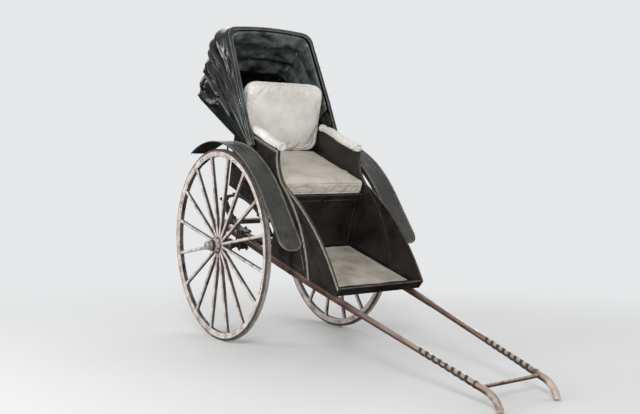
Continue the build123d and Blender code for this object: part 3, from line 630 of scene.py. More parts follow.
def hub_irons():
    """Hoops shrunk on the hub and the flange bolts between the spokes."""
    parts = [lathe(hoop(*ring)) for ring in HUB_HOOPS]
    for turn in JOINTS:
        place = on_wheel(turn, FLANGE_BOLT_RADIUS, FLANGE_BOLT_X)
        parts.append(nut(place, on_wheel(turn, 0.6, 0.8), *FLANGE_NUT))
    return join(parts)


def cap_details():
    """Ribs round the hub cap and the filler plug in its end."""
    plug = nut((CAP_END, 0, 0), (1, 0, 0), *CAP_PLUG)
    return join([lathe(hoop(*ring)) for ring in CAP_RIBS] + [plug])


def rim_irons():
    """Plates and bolts at the joints of the rim's segments."""
    parts = []
    for turn in JOINTS:
        plate = [on_wheel(turn + i * 0.020, RIM_INSIDE - 0.0002) for i in range(-3, 4)]
        parts.append(sweep(plate, [-point for point in plate], JOINT_PLATE))
        for face in (-1, 1):
            for shift in (-RIM_BOLT_TURN, RIM_BOLT_TURN):
                bolt = on_wheel(turn + shift, RIM_MIDDLE, face * RIM_FACE)
                parts.append(dome(bolt, (face, 0, 0), RIM_BOLT_RADIUS, RIM_BOLT_RISE))
    return join(parts)


def spoke_shoulders():
    """Collars where the spokes enter the rim."""
    radii = [radius for _, radius in SHOULDER]
    paths = [[on_wheel(SPOKE_STEP * k, RIM_INSIDE + out) for out, _ in SHOULDER] for k in range(SPOKES)]
    return join([tube(path, radii, 12) for path in paths])


def wheels():
    for side, word in SIDES:
        for name, shape, slot, material in (
            ("hub_irons", hub_irons(), "iron", None),
            ("cap_details", cap_details(), "iron", CAP_METAL),
            ("rim_irons", rim_irons(), "iron", None),
            ("spoke_shoulders", spoke_shoulders(), "wheel_wood", None),
        ):
            shape = moved(shape, wheel_place(side))
            new_piece(f"{word}_{name}", shape, slot, f"{word}_wheel", material, level=False)


# Hood

HOOD_BODIES = ["front_bow", "second_bow", "third_bow", "rear_bow", "carriage"]
HOOD_LEANS = [*BOW_LEANS.values(), CURTAIN_LEAN]
BOW_NODES = ["hood_front_bow", "hood_second_bow", "hood_third_bow", "hood_rear_bow", "back_panel"]
# what each width is cut from
# one row each: name, node it stands for, how far it stands out at the sides, shoulders and crown, loops
HOOD_CLOTHS = [
    ("hood_front_cloth", "hood_front_panel", (0.020, 0.036, 0.022), 1),
    ("hood_middle_cloth", "hood_middle_panel", (0.026, 0.046, 0.024), 2),
    ("hood_rear_cloth", "hood_rear_panel", (0.016, 0.020, 0.014), 1),
]
REAR_HEM_LOOPS = (0.018, 0.010, 0.012)
LINING_SAGS = (0.050, 0.034, 0.030)
HEM_TURNED = 0.035
# along the bows' plane: top and foot of the curtain, and how much narrower its foot is
CURTAIN_TOP, CURTAIN_FOOT, CURTAIN_NARROWING = 0.785, 0.2888, 0.09
# the strips along the bows start at a foot and are full width from further up
SEAM_FOOT, CROWN_SEAM_FOOT, SEAM_FULL_FROM = 0.052, 0.745, 0.46
SEAM_OUT, CORD_OUT = 0.0030, 0.0052
FRONT_SEAM, FRONT_WRAP, SEAM = (-0.0125, 0.016), 0.016, (-0.007, 0.007)
PIN_END, PLATE_SCREWS = CLOTH_HALF_WIDTH + 0.0055, 0.018
CLOTH_THICKNESS = 0.0020
# nails along the front bow: outside the cloth, start of their row, radius, height
NAIL_OUT, NAIL_FOOT, NAIL_RADIUS, NAIL_RISE = 0.0056, 0.060, 0.0042, 0.0026
PIPING_RADIUS, WRAP_PIPING_RADIUS = 0.0023, 0.0021


def bow_point(lean, x, s):
    """Point at x and at s along a bow that leans back by some degrees."""
    back = math.radians(lean)
    return Vector((x, HOOD_PIVOT[0] + s * math.sin(back), HOOD_PIVOT[1] + s * math.cos(back)))


def spaced_evenly(outline, count):
    """Evenly spaced points along a line of (x, s) points, and the direction to the left of it at each."""
    lengths = [0.0]
    for (x0, s0), (x1, s1) in zip(outline, outline[1:]):
        lengths.append(lengths[-1] + math.hypot(x1 - x0, s1 - s0))
    points, k = [], 0
    for i in range(count):
        want = lengths[-1] * i / (count - 1)
        while k < len(lengths) - 2 and lengths[k + 1] < want:
            k += 1
        share = (want - lengths[k]) / (lengths[k + 1] - lengths[k])
        (x0, s0), (x1, s1) = outline[k], outline[k + 1]
        points.append((x0 + (x1 - x0) * share, s0 + (s1 - s0) * share))
    outward = []
    for i in range(count):
        (x0, s0), (x1, s1) = points[max(i - 1, 0)], points[min(i + 1, count - 1)]
        size = math.hypot(x1 - x0, s1 - s0)
        outward.append(((s1 - s0) / size, -(x1 - x0) / size))
    return points, outward


def quarter(count, centre, radius):
    """Points round a quarter circle, from the first axis to the second, without its first point."""
    turns = [math.pi / 2 * k / count for k in range(1, count + 1)]
    return [(centre[0] + radius * math.cos(turn), centre[1] + radius * math.sin(turn)) for turn in turns]


def arch_profile(half_width, top, count, foot):
    """Evenly spaced (x, s) points of a bow's outline from left to right, and the outward directions."""
    shoulder, narrow = top - HOOD_CROWN, half_width - HOOD_TAPER
    centre = (narrow - HOOD_CORNER, shoulder - HOOD_CORNER)
    half = [(half_width, foot), (half_width, HOOD_KNEE), (narrow, centre[1])]
    half += quarter(8, centre, HOOD_CORNER)
    for share in (1 - k / 8 for k in range(1, 9)):
        half.append((centre[0] * share, top - HOOD_CROWN * share * share))
    return spaced_evenly(half + [(-x, s) for x, s in reversed(half[:-1])], count)


CLOTH_TOP = HOOD_LENGTH + 0.003
CLOTH_LINE, CLOTH_OUTWARD = arch_profile(CLOTH_HALF_WIDTH + 0.0022, CLOTH_TOP, HOOD_COLUMNS, 0.040)


def held(value):
    """The value, or 0 or 1 where it lies beyond them."""
    return min(max(value, 0), 1)


def wave(x, y, z):
    return noise.noise(Vector((x, y, z)))


def crest(x, y, z):
    """Noise whose high places are sharp lines."""
    return 0.5 - abs(wave(x, y, z))


def side_of(x):
    """1 on the left side, -1 on the right, 0 in the middle."""
    return math.copysign(1, x) if abs(x) > 0.1 else 0


def fold_height(share, arm, place, folds):
    """How far slack cloth stands out between its bows, in one or more loops side by side."""
    x, s, seed = place
    side = side_of(x)
    drift = 0.13 / folds * wave(seed + side * 3, s * 3.2, x * 2.2)
    phase = held(share + drift * math.sin(math.pi * share))
    loops = abs(math.sin(math.pi * phase * folds)) ** 0.8
    size = 1 + 0.5 * wave(seed * 2 + int(phase * folds) * 7.7 + side, s * 2.0, x * 3.0)
    return loops * size * arm


# Outline of the teardrop where spare cloth is rolled up at each rear side: (lean, s)
TEARDROP = [(62.0, 0.752), (64.2, 0.66), (66.0, 0.585), (68.6, 0.527), (73.3, 0.518), (77.2, 0.570),
            (78.6, 0.655), (77.4, 0.725), (74.0, 0.748), (68.0, 0.756)]
ROLL_HEIGHT, ROLL_WIDTH = 0.017, 0.010
HOLLOW_DEPTH, HOLLOW_REACH = 0.012, 0.045
HEM_HEIGHT, HEM_WIDTH, HEM_IN = 0.010, 0.011, 0.020


def teardrop_roll(lean, s):
    """Rolled edge and hollow of the teardrop."""
    point = bow_point(lean, 0, s)
    line = [bow_point(a, 0, b) for a, b in TEARDROP]
    away, inside = 1.0, False
    for start, end in zip(line, line[1:] + line[:1]):
        along = end - start
        share = held((point - start).dot(along) / along.length_squared)
        away = min(away, (point - start - along * share).length)
        if (start.z > point.z) != (end.z > point.z):
            if point.y < start.y + (point.z - start.z) / (end.z - start.z) * (end.y - start.y):
                inside = not inside
    hollow = min(away / HOLLOW_REACH, 1) * HOLLOW_DEPTH if inside else 0
    return ROLL_HEIGHT * math.exp(-(away / ROLL_WIDTH) ** 2) - hollow


def hem_roll(lean, s):
    """Thick rolled hem along the lower edge of each side."""
    from_edge = math.radians(CURTAIN_LEAN - lean) * s
    return HEM_HEIGHT * math.exp(-((from_edge - HEM_IN) / HEM_WIDTH) ** 2)


def crumple(x, s, share, seed):
    """Small sharp creases, as in stiff oiled cloth."""
    side = 2 * side_of(x)
    broad = wave(x * 4 + seed, share * 2.2, s * 2.6 + side)
    sharp = crest(x * 7.0 + seed * 2, share * 3.0, s * 4.6 + side)
    fine = crest(x * 15 + seed * 3, share * 6.0, s * 11 + side)
    return broad * 0.018 + sharp * 0.017 + fine * 0.0035


# the low part of the rear edge stands out by no more, so that it passes the mudguard as the hood folds
GUARD_ROOM, LOW_EDGE_LEAN, LOW_EDGE_TOP = 0.005, 71, 0.56


def slack(share, place, loops, folds):
    """How far the cloth stands out at a point of its outline, part way from one bow to the next."""
    (x, s, seed), (nx, ns) = place
    at_sides, at_shoulders, at_crown = loops
    arm = held((s - 0.10) / (HOOD_LENGTH - 0.10))
    corner = max(0, 1 - math.hypot(abs(x) - 0.262, s - 0.775) / 0.16)
    depth = at_sides * arm ** 1.2 * max(abs(nx) - 0.2, 0) + at_crown * max(abs(ns) - 0.2, 0)
    depth += (at_shoulders - depth) * corner * corner * (3 - 2 * corner)
    belly = max(math.sin(math.pi * share), 0) ** 0.6
    folded = fold_height(share, depth, (x, s, seed), folds)
    return folded + crumple(x, s, share, seed) * belly * min(arm * 1.7, 1), arm


def rolled(out, lean, s, arm):
    """Adds the teardrop and the hem to how far a side of the cloth stands out behind the third bow."""
    ends = min((lean - BOW_LEANS["third"]) / 2, (CURTAIN_LEAN - lean) / 2, 1)
    out += teardrop_roll(lean, s) * ends + hem_roll(lean, s) * min(arm * 4, 1)
    tight = held((lean - LOW_EDGE_LEAN) / 4) * held((LOW_EDGE_TOP - s) / 0.08)
    return out + (min(out, GUARD_ROOM) - out) * tight


def cloth_grid(front, rear, loops, folds, seed, rows=40):
    """Face of the cloth between two leans; loops is how far it stands out at sides, shoulders and crown."""
    points = []
    for j in range(rows + 1):
        share = j / rows
        lean = front + (rear - front) * share
        for (x, s), (nx, ns) in zip(CLOTH_LINE, CLOTH_OUTWARD):
            out, arm = slack(share, ((x, s, seed), (nx, ns)), loops, folds)
            if lean > BOW_LEANS["third"] and abs(nx) > 0.8:
                out = rolled(out, lean, s, arm)
            points.append(bow_point(lean, x + nx * out, s + ns * out))
    return points, ring_faces(rows + 1, HOOD_COLUMNS, wrap_columns=False)


def rear_hem_grid(loops, seed):
    """Cloth that hangs on behind the rear bow, with its free edge turned in."""
    points, faces = cloth_grid(BOW_LEANS["rear"], CURTAIN_LEAN, loops, 1, seed)
    edge = len(points) - HOOD_COLUMNS
    turned = [i for i, (_, s) in enumerate(CLOTH_LINE) if s >= CURTAIN_FOOT]
    rows = [[edge + i for i in turned]]
    for j in range(1, 6):
        rows.append([])
        for i in turned:
            (x, s), (nx, ns) = CLOTH_LINE[i], CLOTH_OUTWARD[i]
            inset = HEM_TURNED * j / 5 * min(0.08 + (s - CURTAIN_FOOT) / 0.06, 1)
            rows[-1].append(len(points))
            points.append(bow_point(CURTAIN_LEAN, x - nx * inset, s - ns * inset))
    for before, after in zip(rows, rows[1:]):
        faces += [(before[i], before[i + 1], after[i + 1], after[i]) for i in range(len(turned) - 1)]
    return points, faces


def curtain_grid(seed, rows=36):
    """Sheet hung inside the turned-in edge, from the crown down to the backrest."""
    side_top = CLOTH_TOP - HOOD_CROWN - HOOD_CORNER
    inset = HEM_TURNED + 0.0015
    outline = zip(CLOTH_LINE, CLOTH_OUTWARD)
    top = [(x - nx * inset, s - ns * inset) for (x, s), (nx, ns) in outline if s >= side_top]
    half_top = max(x for x, _ in top)
    middle = math.radians(CURTAIN_LEAN)
    inward = Vector((0, -math.cos(middle), math.sin(middle)))
    points = []
    for j in range(rows + 1):
        share = j / rows
        side_s = side_top + (CURTAIN_FOOT - side_top) * share
        wider = HOOD_TAPER * min((side_top - side_s) / (side_top - HOOD_KNEE), 1)
        for x, s in top:
            x *= (1 + wider / half_top) * (1 - CURTAIN_NARROWING * share * share)
            place = bow_point(CURTAIN_LEAN, x, s + (CURTAIN_FOOT - s) * share)
            sag = wave(x * 4.5, s * 2 + share * 2.2, seed) * 0.016
            crease = crest(x * 9, share * 5, seed + 4) * 0.010
            points.append(place + inward * (sag + crease + 0.012) * math.sin(math.pi * share))
    return points, ring_faces(rows + 1, len(top), wrap_columns=False)


def thickened(piece, thickness, middle):
    """Gives a sheet its thickness on the side that faces a point."""
    facing = sum((face.center - middle).dot(face.normal) * face.area for face in piece.data.polygons)
    thick = piece.modifiers.new("thick", "SOLIDIFY")
    thick.thickness = thickness
    thick.offset = -1 if facing > 0 else 1
    slot_name = piece["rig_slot"]
    apply_modifiers(piece)
    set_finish(piece, slot_name)


def hood_cloth(name, grid, nodes=(), material=None):
    """One width of the hood's cloth, not yet on any body."""
    piece = new_piece(name, grid, "hood_cloth", material=material, smooth=180)
    thickened(piece, CLOTH_THICKNESS, LEVEL @ bow_point(58, 0, 0.45))
    if nodes:
        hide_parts(*nodes)
    return piece


def bend_between(piece, bodies, start, end):
    """Freezes the cloth's placing into its mesh; bodies, start and end are not used."""
    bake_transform(piece)


def lining_grid(front, rear, seed, sag, rows=18, columns=170):
    """Lining that sags in scallops between two bows, from shoulder to shoulder and down the sides."""
    profile, outward = arch_profile(CLOTH_HALF_WIDTH - 0.0215, HOOD_LENGTH - 0.0165, columns, 0.30)
    points = []
    for j in range(rows + 1):
        share = j / rows
        belly = math.sin(math.pi * share) ** 0.8
        for i, ((x, s), (nx, ns)) in enumerate(zip(profile, outward)):
            hem = min(i, columns - 1 - i) / 14
            swag = 0.72 + 0.55 * wave(x * 5.5 + seed, share * 1.2, s * 3)
            crease = crest(x * 10 + seed, share * 2.4, s * 9)
            fine = crest(x * 23 + seed, share * 5, s * 21)
            deep = sag * swag * (0.35 + 0.75 * abs(ns)) + crease * 0.016 + fine * 0.004
            deep = max(deep, 0.001) * belly * min(hem, 1)
            points.append(bow_point(front + (rear - front) * share, x - nx * deep, s - ns * deep))
    return points, ring_faces(rows + 1, columns, wrap_columns=False)


def arch_path(lean, out, foot, count=120):
    """Path outside a bow's outline, the outward directions, and how far from the pivot it is."""
    profile, outward = arch_profile(CLOTH_HALF_WIDTH + out, HOOD_LENGTH + out, count, foot)
    back = math.radians(lean)
    up = Vector((0, math.sin(back), math.cos(back)))
    outward = [Vector((nx, 0, 0)) + up * ns for nx, ns in outward]
    return [bow_point(lean, x, s) for x, s in profile], outward, [s for _, s in profile]


def beside(path, lean, amounts):
    """A path moved off its bow's plane, towards the rear for positive amounts."""
    back = math.radians(lean)
    step = Vector((0, math.cos(back), -math.sin(back)))
    return [point + step * amount for point, amount in zip(path, amounts)]


def tapered(edge, reach, narrows=True):
    """Distance of a strip's edge from its bow, less near the pivot so that folded bows clear each other."""
    return [edge * min(s / SEAM_FULL_FROM, 1) if narrows else edge for s in reach]


def strip_section(front, rear, wrap):
    """Section of a seam's strip; wrap carries its front edge round the bow."""
    bevel = min(0.002, rear / 2)
    section = [(-0.0010, rear), (0.0018, rear), (0.0028, rear - bevel), (0.0028, front + bevel),
               (0.0010, front)]
    if wrap:
        return section + [(-wrap, front), (-wrap, front + 0.002), (-0.0010, front + 0.003)]
    return section + [(-0.0010, front)]


def bow_seam(lean, body, edges, wrap=0.0, foot=SEAM_FOOT):
    """Strip sewn over the cloth along a bow, piped at its edges; wrap carries it round the bow's front."""
    front_edge, rear_edge = edges
    path, outward, reach = arch_path(lean, SEAM_OUT, foot)
    strip = zip(tapered(front_edge, reach, not wrap), tapered(rear_edge, reach))
    strip = sweep(path, outward, [strip_section(front, rear, wrap) for front, rear in strip])
    new_piece(f"{body}_seam_strip", strip, "hood_cloth", body, smooth=60)
    path, _, reach = arch_path(lean, CORD_OUT, foot)
    lines = (tapered(front_edge + 0.0015, reach, not wrap), tapered(rear_edge - 0.0015, reach))
    cords = [tube(beside(path, lean, line), PIPING_RADIUS, 8) for line in lines]
    if wrap:
        path, _, reach = arch_path(lean, SEAM_OUT - wrap, foot)
        line = tapered(front_edge - 0.0005, reach, False)
        cords.append(tube(beside(path, lean, line), WRAP_PIPING_RADIUS, 8))
    new_piece(f"{body}_seam_piping", join(cords), "hood_cloth", body, PIPING)


def bow_nails(lean, body):
    """Round-headed nails that hold the strip to the bow."""
    path, outward, _ = arch_path(lean, NAIL_OUT, NAIL_FOOT, 75)
    heads = list(zip(beside(path, lean, [0.001] * len(path)), outward))[1::2]
    nails = [dome(point, out, NAIL_RADIUS, NAIL_RISE, 10) for point, out in heads]
    new_piece(f"{body}_seam_nails", join(nails), "iron", body)


def pivot_irons():
    """Nuts on the pins that the bows turn on, and the screws of their plates."""
    parts = []
    for side in (RIGHT, LEFT):
        out = (side, 0, 0)
        parts.append(nut((side * PIN_END, *HOOD_PIVOT), out, *PIN_NUT))
        for k in range(4):
            screw = on_wheel(math.pi / 2 * k + 0.5, PLATE_SCREWS, side * (PANEL_OUTSIDE + 0.0015))
            parts.append(dome(screw + Vector((0, *HOOD_PIVOT)), out, 0.0026, 0.0014, 10))
    new_piece("pivot_irons", join(parts), "iron", "carriage", smooth=30)


def hood():
    for i, (name, node, loops, folds) in enumerate(HOOD_CLOTHS):
        leans, bodies, nodes = HOOD_LEANS[i:i + 2], HOOD_BODIES[i:i + 2], BOW_NODES[i:i + 2]
        ends = [bow_point(lean, 0, 0.40) for lean in leans]
        cloth = hood_cloth(name, cloth_grid(*leans, loops, folds, 7.3 * i + 1), (node,))
        bend_between(cloth, bodies, *ends)
        grid = lining_grid(*leans, 3.1 * i + 20, LINING_SAGS[i])
        lining = hood_cloth(f"hood_lining_{i}", grid, material=LINING)
        bend_between(lining, bodies, *ends)
    hem = hood_cloth("hood_rear_hem", rear_hem_grid(REAR_HEM_LOOPS, 22.9))
    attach(hem, "rear_bow")
    curtain = hood_cloth("hood_curtain_cloth", curtain_grid(22.9),
                         ("hood_back_curtain",))
    ends = [bow_point(CURTAIN_LEAN, 0, s) for s in (CURTAIN_TOP, CURTAIN_FOOT)]
    bend_between(curtain, HOOD_BODIES[3:], *ends)
    bow_seam(HOOD_LEANS[0], "front_bow", FRONT_SEAM, FRONT_WRAP)
    bow_nails(HOOD_LEANS[0], "front_bow")
    for i, foot in ((1, SEAM_FOOT), (2, SEAM_FOOT), (3, CROWN_SEAM_FOOT)):
        bow_seam(HOOD_LEANS[i], HOOD_BODIES[i], SEAM, foot=foot)
    pivot_irons()


# Mudguards

GUARD_RADIUS, GUARD_FRONT_RADIUS = 0.590, 0.765
GUARD_REAR, GUARD_TOP, GUARD_SWING = (math.radians(angle) for angle in (43.5, 96.0, 28.0))
GUARD_TAIL, GUARD_THICKNESS = 0.345, 0.003
GUARD_MIDDLE, GUARD_HALF_WIDTH, GUARD_CORNER = 0.383, 0.065, 0.055
GUARD_FIRST = GUARD_RADIUS * (GUARD_TOP - GUARD_REAR)
GUARD_SECOND = GUARD_FRONT_RADIUS * GUARD_SWING
GUARD_LENGTH = GUARD_FIRST + GUARD_SECOND + GUARD_TAIL
GUARD_LINE_START = 0.012
# distances from the edge
RIDGE_INSETS, BEAD_INSET, STITCH_INSET = (0.017, 0.034, 0.050), 0.0025, 0.0100
BEAD_RADIUS, THREAD_RADIUS = 0.0036, 0.00055
STAY_Y, STAY_X = (0.205, -0.200, -0.520), 0.338
# rivets over a stay: half the distance between them, radius, height
RIVET_SPREAD, RIVET_RADIUS, RIVET_RISE = 0.010, 0.0055, 0.0028
# step in which the place over a stay is looked for
STAY_SEARCH = 0.004
RIDGE = [(-0.0004, -0.0030), (0.0010, -0.0018), (0.0014, 0), (0.0010, 0.0018), (-0.0004, 0.0030)]
ROUND_BEAD = [(BEAD_RADIUS * math.cos(turn), BEAD_RADIUS * math.sin(turn))
              for turn in (math.pi / 4 * k for k in range(8))]


def guard_point(along, x):
    """Point on a mudguard's top, and the direction away from the wheel there."""
    if along < GUARD_FIRST:
        out = on_wheel(GUARD_REAR + along / GUARD_RADIUS, 1)
        return Vector((x, 0, 0)) + out * (GUARD_RADIUS + GUARD_THICKNESS), out
    turn = GUARD_TOP + min(along - GUARD_FIRST, GUARD_SECOND) / GUARD_FRONT_RADIUS
    out = on_wheel(turn, 1)
    centre = on_wheel(GUARD_TOP, GUARD_RADIUS - GUARD_FRONT_RADIUS, x)
    place = centre + out * (GUARD_FRONT_RADIUS + GUARD_THICKNESS)
    beyond = max(along - GUARD_FIRST - GUARD_SECOND, 0)
    return place + Vector((0, -math.sin(turn), math.cos(turn))) * beyond, out


def guard_line(side, inset, count=150):
    """Path that runs round a mudguard at a distance inside its edge, open at the rear."""
    half, corner = GUARD_HALF_WIDTH - inset, max(GUARD_CORNER - inset, 0.008)
    end = GUARD_LENGTH - inset
    outline = [(GUARD_LINE_START, half), (end - corner, half)]
    for k in range(1, 10):
        turn = math.pi / 2 * k / 9
        outline.append((end - corner + corner * math.sin(turn), half - corner + corner * math.cos(turn)))
    outline += [(along, -v) for along, v in reversed(outline)]
    points, _ = spaced_evenly(outline, count)
    places = [guard_point(along, side * (GUARD_MIDDLE + v)) for along, v in points]
    return [place for place, _ in places], [out for _, out in places]


def guard_stitches(side):
    """Stitches along the sewn edge, each a short thread that dips into the hide."""
    path, outward = guard_line(side, STITCH_INSET, 470)
    parts = []
    for i in range(1, len(path) - 1, 2):
        middle = (path[i] + path[i + 1]) / 2 + outward[i] * 0.0005
        ends = [path[i] - outward[i] * 0.0003, path[i + 1] - outward[i] * 0.0003]
        parts.append(tube([ends[0], middle, ends[1]], THREAD_RADIUS, 5))
    return join(parts)


def guard_rivets(side):
    """Rivet heads over the irons that carry the mudguard."""
    parts = []
    steps = [i * STAY_SEARCH for i in range(int(GUARD_LENGTH / STAY_SEARCH))]
    for wanted in STAY_Y:
        near = min(steps, key=lambda along: abs(guard_point(along, 0)[0].y - wanted))
        for step in (-RIVET_SPREAD, RIVET_SPREAD):
            place, out = guard_point(near + step, side * STAY_X)
            parts.append(dome(place, out, RIVET_RADIUS, RIVET_RISE))
    return join(parts)


def mudguards():
    for side, word in SIDES:
        ridges = join([sweep(*guard_line(side, inset), RIDGE) for inset in RIDGE_INSETS])
        edge = sweep(*guard_line(side, BEAD_INSET), ROUND_BEAD)
        for name, shape, slot, material, smooth in (
            ("ridges", ridges, "guard_leather", None, 60),
            ("edge", edge, "guard_leather", EDGE_HIDE, 60),
            ("stitches", guard_stitches(side), "guard_leather", THREAD, 80),
            ("rivets", guard_rivets(side), "iron", None, 38),
        ):
            new_piece(f"{word}_guard_{name}", shape, slot, "carriage", material, smooth=smooth)


# Body

ARM_HEIGHT, ARM_FRONT = 0.650, -0.235
ARM_HOLLOW, ARM_END = (-0.275, 0.553), (-0.352, 0.494)
FRONT_SWEEP, SIDE_FRONT_Y = (-0.603, 0.322), -0.738
TOE_SWEEP, TOE_TOP = (-0.690, 0.384), (-0.984, 0.182)
FLOOR_OVER_SHAFT, FLOOR_THICKNESS = 0.025, 0.014
SEAT_BOX_BOTTOM, BACK_FOOT_Y, BACK_SLOPE = 0.310, 0.225, 0.060 / 0.580
RISER_Y, SEAT_HEIGHT = -0.345, 0.430
RISER_PANELS = ((-0.236, -0.014), (0.014, 0.236))
TOE_OUTSIDE = PANEL_OUTSIDE - 0.004
# beads along an edge: distance inside it, width
SIDE_BEADS, TOE_BEADS = ((0.006, 0.0050), (0.015, 0.0028)), ((0.005, 0.0040), (0.012, 0.0026))
SIDE_SCREWS, TOE_SCREWS = 0.0105, 0.0085
SIDE_BEAD_HEIGHT, TOE_BEAD_HEIGHT = 0.0020, 0.0018
MOULDING_INSET, MOULDING_WIDTH, MOULDING_HEIGHT = 0.004, 0.010, 0.0036
# (y, z) corners of the moulded frames on the seat box and the foot well
BOX_CORNERS = [(-0.300, 0.335), (0.205, 0.335), (0.222, 0.500), (-0.330, 0.470)]
WELL_REAR, WELL_FRONT, WELL_LOW = -0.365, -0.690, 0.022
NOSING = [(-0.0005, -0.0075), (0.0015, -0.0075), (0.0026, -0.004), (0.0030, 0), (0.0026, 0.004),
          (0.0015, 0.0075), (-0.0005, 0.0075)]
# places up the backrest
RIBS, RIB_HALF_LENGTH, RIB_SIZE = (0.10, 0.27, 0.44), 0.250, (0.026, 0.009)
# the board under the seat: its panels' gaps to the floor and the seat board; width and height of
# a panel's moulding, and of the bead under the seat board
RISER_LOW_GAP, RISER_HIGH_GAP, RISER_MOULDING = 0.028, 0.036, (0.011, 0.004)
SEAT_BEAD_HALF_LENGTH, SEAT_BEAD_DROP, SEAT_BEAD = 0.262, 0.007, (0.013, 0.006)


def floor_z(y):
    return shaft_z(y) + FLOOR_OVER_SHAFT


def side_edge():
    """Line of a side panel's upper edge as (y, z), from the arm's rear end to the foot well's front."""
    arm_rear = BACK_FOOT_Y + BACK_SLOPE * (ARM_HEIGHT - SEAT_BOX_BOTTOM) - 0.012
    arm_front = (ARM_FRONT, ARM_HEIGHT)
    hollow = arc_through(arm_front, ARM_HOLLOW, ARM_END, 16)[1:]
    front = arc_through(ARM_END, FRONT_SWEEP, (SIDE_FRONT_Y, floor_z(SIDE_FRONT_Y)), 26)[1:]
    return [(arm_rear, ARM_HEIGHT), arm_front] + hollow + front


def inset_line(line, distance):
    """A (y, z) line moved to its left by a distance."""
    points = []
    for i, (y, z) in enumerate(line):
        (y0, z0), (y1, z1) = line[max(i - 1, 0)], line[min(i + 1, len(line) - 1)]
        size = math.hypot(y1 - y0, z1 - z0)
        points.append((y - (z1 - z0) / size * distance, z + (y1 - y0) / size * distance))
    return points


def half_round(width, height):
    """Section of a bead that is let a little into its panel."""
    turns = [math.pi * k / 6 for k in range(1, 6)]
    rounded = [(height * math.sin(turn), -width / 2 * math.cos(turn)) for turn in turns]
    return [(-0.0006, -width / 2)] + rounded + [(-0.0006, width / 2)]


def bead_on(side, line, x, width, height, count=90):
    """Bead along a (y, z) line on a face that looks outboard at x."""
    spread, _ = spaced_evenly(line, count)
    return sweep([(side * x, y, z) for y, z in spread], [(side, 0, 0)] * count, half_round(width, height))


def bar_across(half_length, y, z, out, section):
    """Strip straight across the vehicle."""
    path = [(half_length * i / 10, y, z) for i in range(-10, 11)]
    return sweep(path, [out] * len(path), section)


def screws_on(side, line, x, gap=0.055, radius=0.0030):
    length = sum(math.dist(a, b) for a, b in zip(line, line[1:]))
    spread, _ = spaced_evenly(line, max(int(length / gap), 3))
    return [dome((side * x, y, z), (side, 0, 0), radius, 0.0012, 10, 2) for y, z in spread]


def frame_line(corners, inset):
    """Closed (y, z) outline inside a polygon given anticlockwise as seen from the left."""
    closed = corners + corners[:2]
    lines = []
    for (y0, z0), (y1, z1), (y2, z2) in zip(closed, closed[1:], closed[2:]):
        a, b = math.atan2(z1 - z0, y1 - y0), math.atan2(z2 - z1, y2 - y1)
        turn = (a + b) / 2 + math.pi / 2
        if abs(a - b) > math.pi:
            turn += math.pi
        reach = inset / math.cos((a - b) / 2)
        lines.append((y1 + abs(reach) * math.cos(turn), z1 + abs(reach) * math.sin(turn)))
    return lines + lines[:1]


def body_beads():
    """Pale lines along the panel edges and a moulded frame on each side of the seat box."""
    well_low = [(y, floor_z(y) + WELL_LOW) for y in (WELL_FRONT, WELL_REAR)]
    well_corners = well_low + [(WELL_REAR, 0.440), (-0.560, 0.300)]
    edge, toe = side_edge(), arc_through(ARM_END, TOE_SWEEP, TOE_TOP, 40)
    for side, word in SIDES:
        beads = [bead_on(side, inset_line(edge, inset), PANEL_OUTSIDE, width, SIDE_BEAD_HEIGHT, 150)
                 for inset, width in SIDE_BEADS]
        beads += [bead_on(side, inset_line(toe, inset), TOE_OUTSIDE, width, TOE_BEAD_HEIGHT)
                  for inset, width in TOE_BEADS]
        new_piece(f"{word}_edge_beads", join(beads), "body_wood", "carriage", BEAD, smooth=60)
        frames = [bead_on(side, frame_line(corners, MOULDING_INSET), PANEL_OUTSIDE,
                          MOULDING_WIDTH, MOULDING_HEIGHT, 120)
                  for corners in (BOX_CORNERS, well_corners)]
        new_piece(f"{word}_panel_frames", join(frames), "body_wood", "carriage", smooth=60)
        screws = screws_on(side, inset_line(edge, SIDE_SCREWS), PANEL_OUTSIDE)
        screws += screws_on(side, inset_line(toe, TOE_SCREWS), TOE_OUTSIDE, 0.07, 0.0024)
        new_piece(f"{word}_panel_screws", join(screws), "iron", "carriage", BRASS)


def nosing():
    """Rounded metal strips over the arms' fronts, the toe board's top and the front of the foot well."""
    spread, left_of = spaced_evenly(side_edge()[1:], 110)
    out = [(0, -n[0], -n[1]) for n in left_of]
    middle = (PANEL_OUTSIDE + PANEL_INSIDE) / 2
    parts = [sweep([(side * middle, y, z) for y, z in spread], out, NOSING) for side in (RIGHT, LEFT)]
    toe_y, toe_z = TOE_TOP
    return join(parts + [bar_across(PANEL_INSIDE, toe_y + 0.006, toe_z, (0, 0, 1), NOSING)])


def riser_frame():
    """Two moulded panels on the board under the seat, and a bead under the seat board."""
    parts = []
    low, high = floor_z(RISER_Y) + FLOOR_THICKNESS + RISER_LOW_GAP, SEAT_HEIGHT - RISER_HIGH_GAP
    for x0, x1 in RISER_PANELS:
        corners = [(x0, low), (x1, low), (x1, high), (x0, high)]
        spread, _ = spaced_evenly(frame_line(corners, 0.001), 100)
        path = [(x, RISER_Y, z) for x, z in spread]
        parts.append(sweep(path, [(0, -1, 0)] * len(path), half_round(*RISER_MOULDING)))
    bead = bar_across(SEAT_BEAD_HALF_LENGTH, RISER_Y + 0.001, SEAT_HEIGHT - SEAT_BEAD_DROP, (0, -1, 0),
                      half_round(*SEAT_BEAD))
    return join(parts + [bead])


def back_ribs():
    """Ribs across the outside of the backrest."""
    section = half_round(*RIB_SIZE)
    places = [(BACK_FOOT_Y + BACK_SLOPE * up + 0.0004, SEAT_BOX_BOTTOM + up) for up in RIBS]
    return join([bar_across(RIB_HALF_LENGTH, y, z, (0, 1, -BACK_SLOPE), section) for y, z in places])


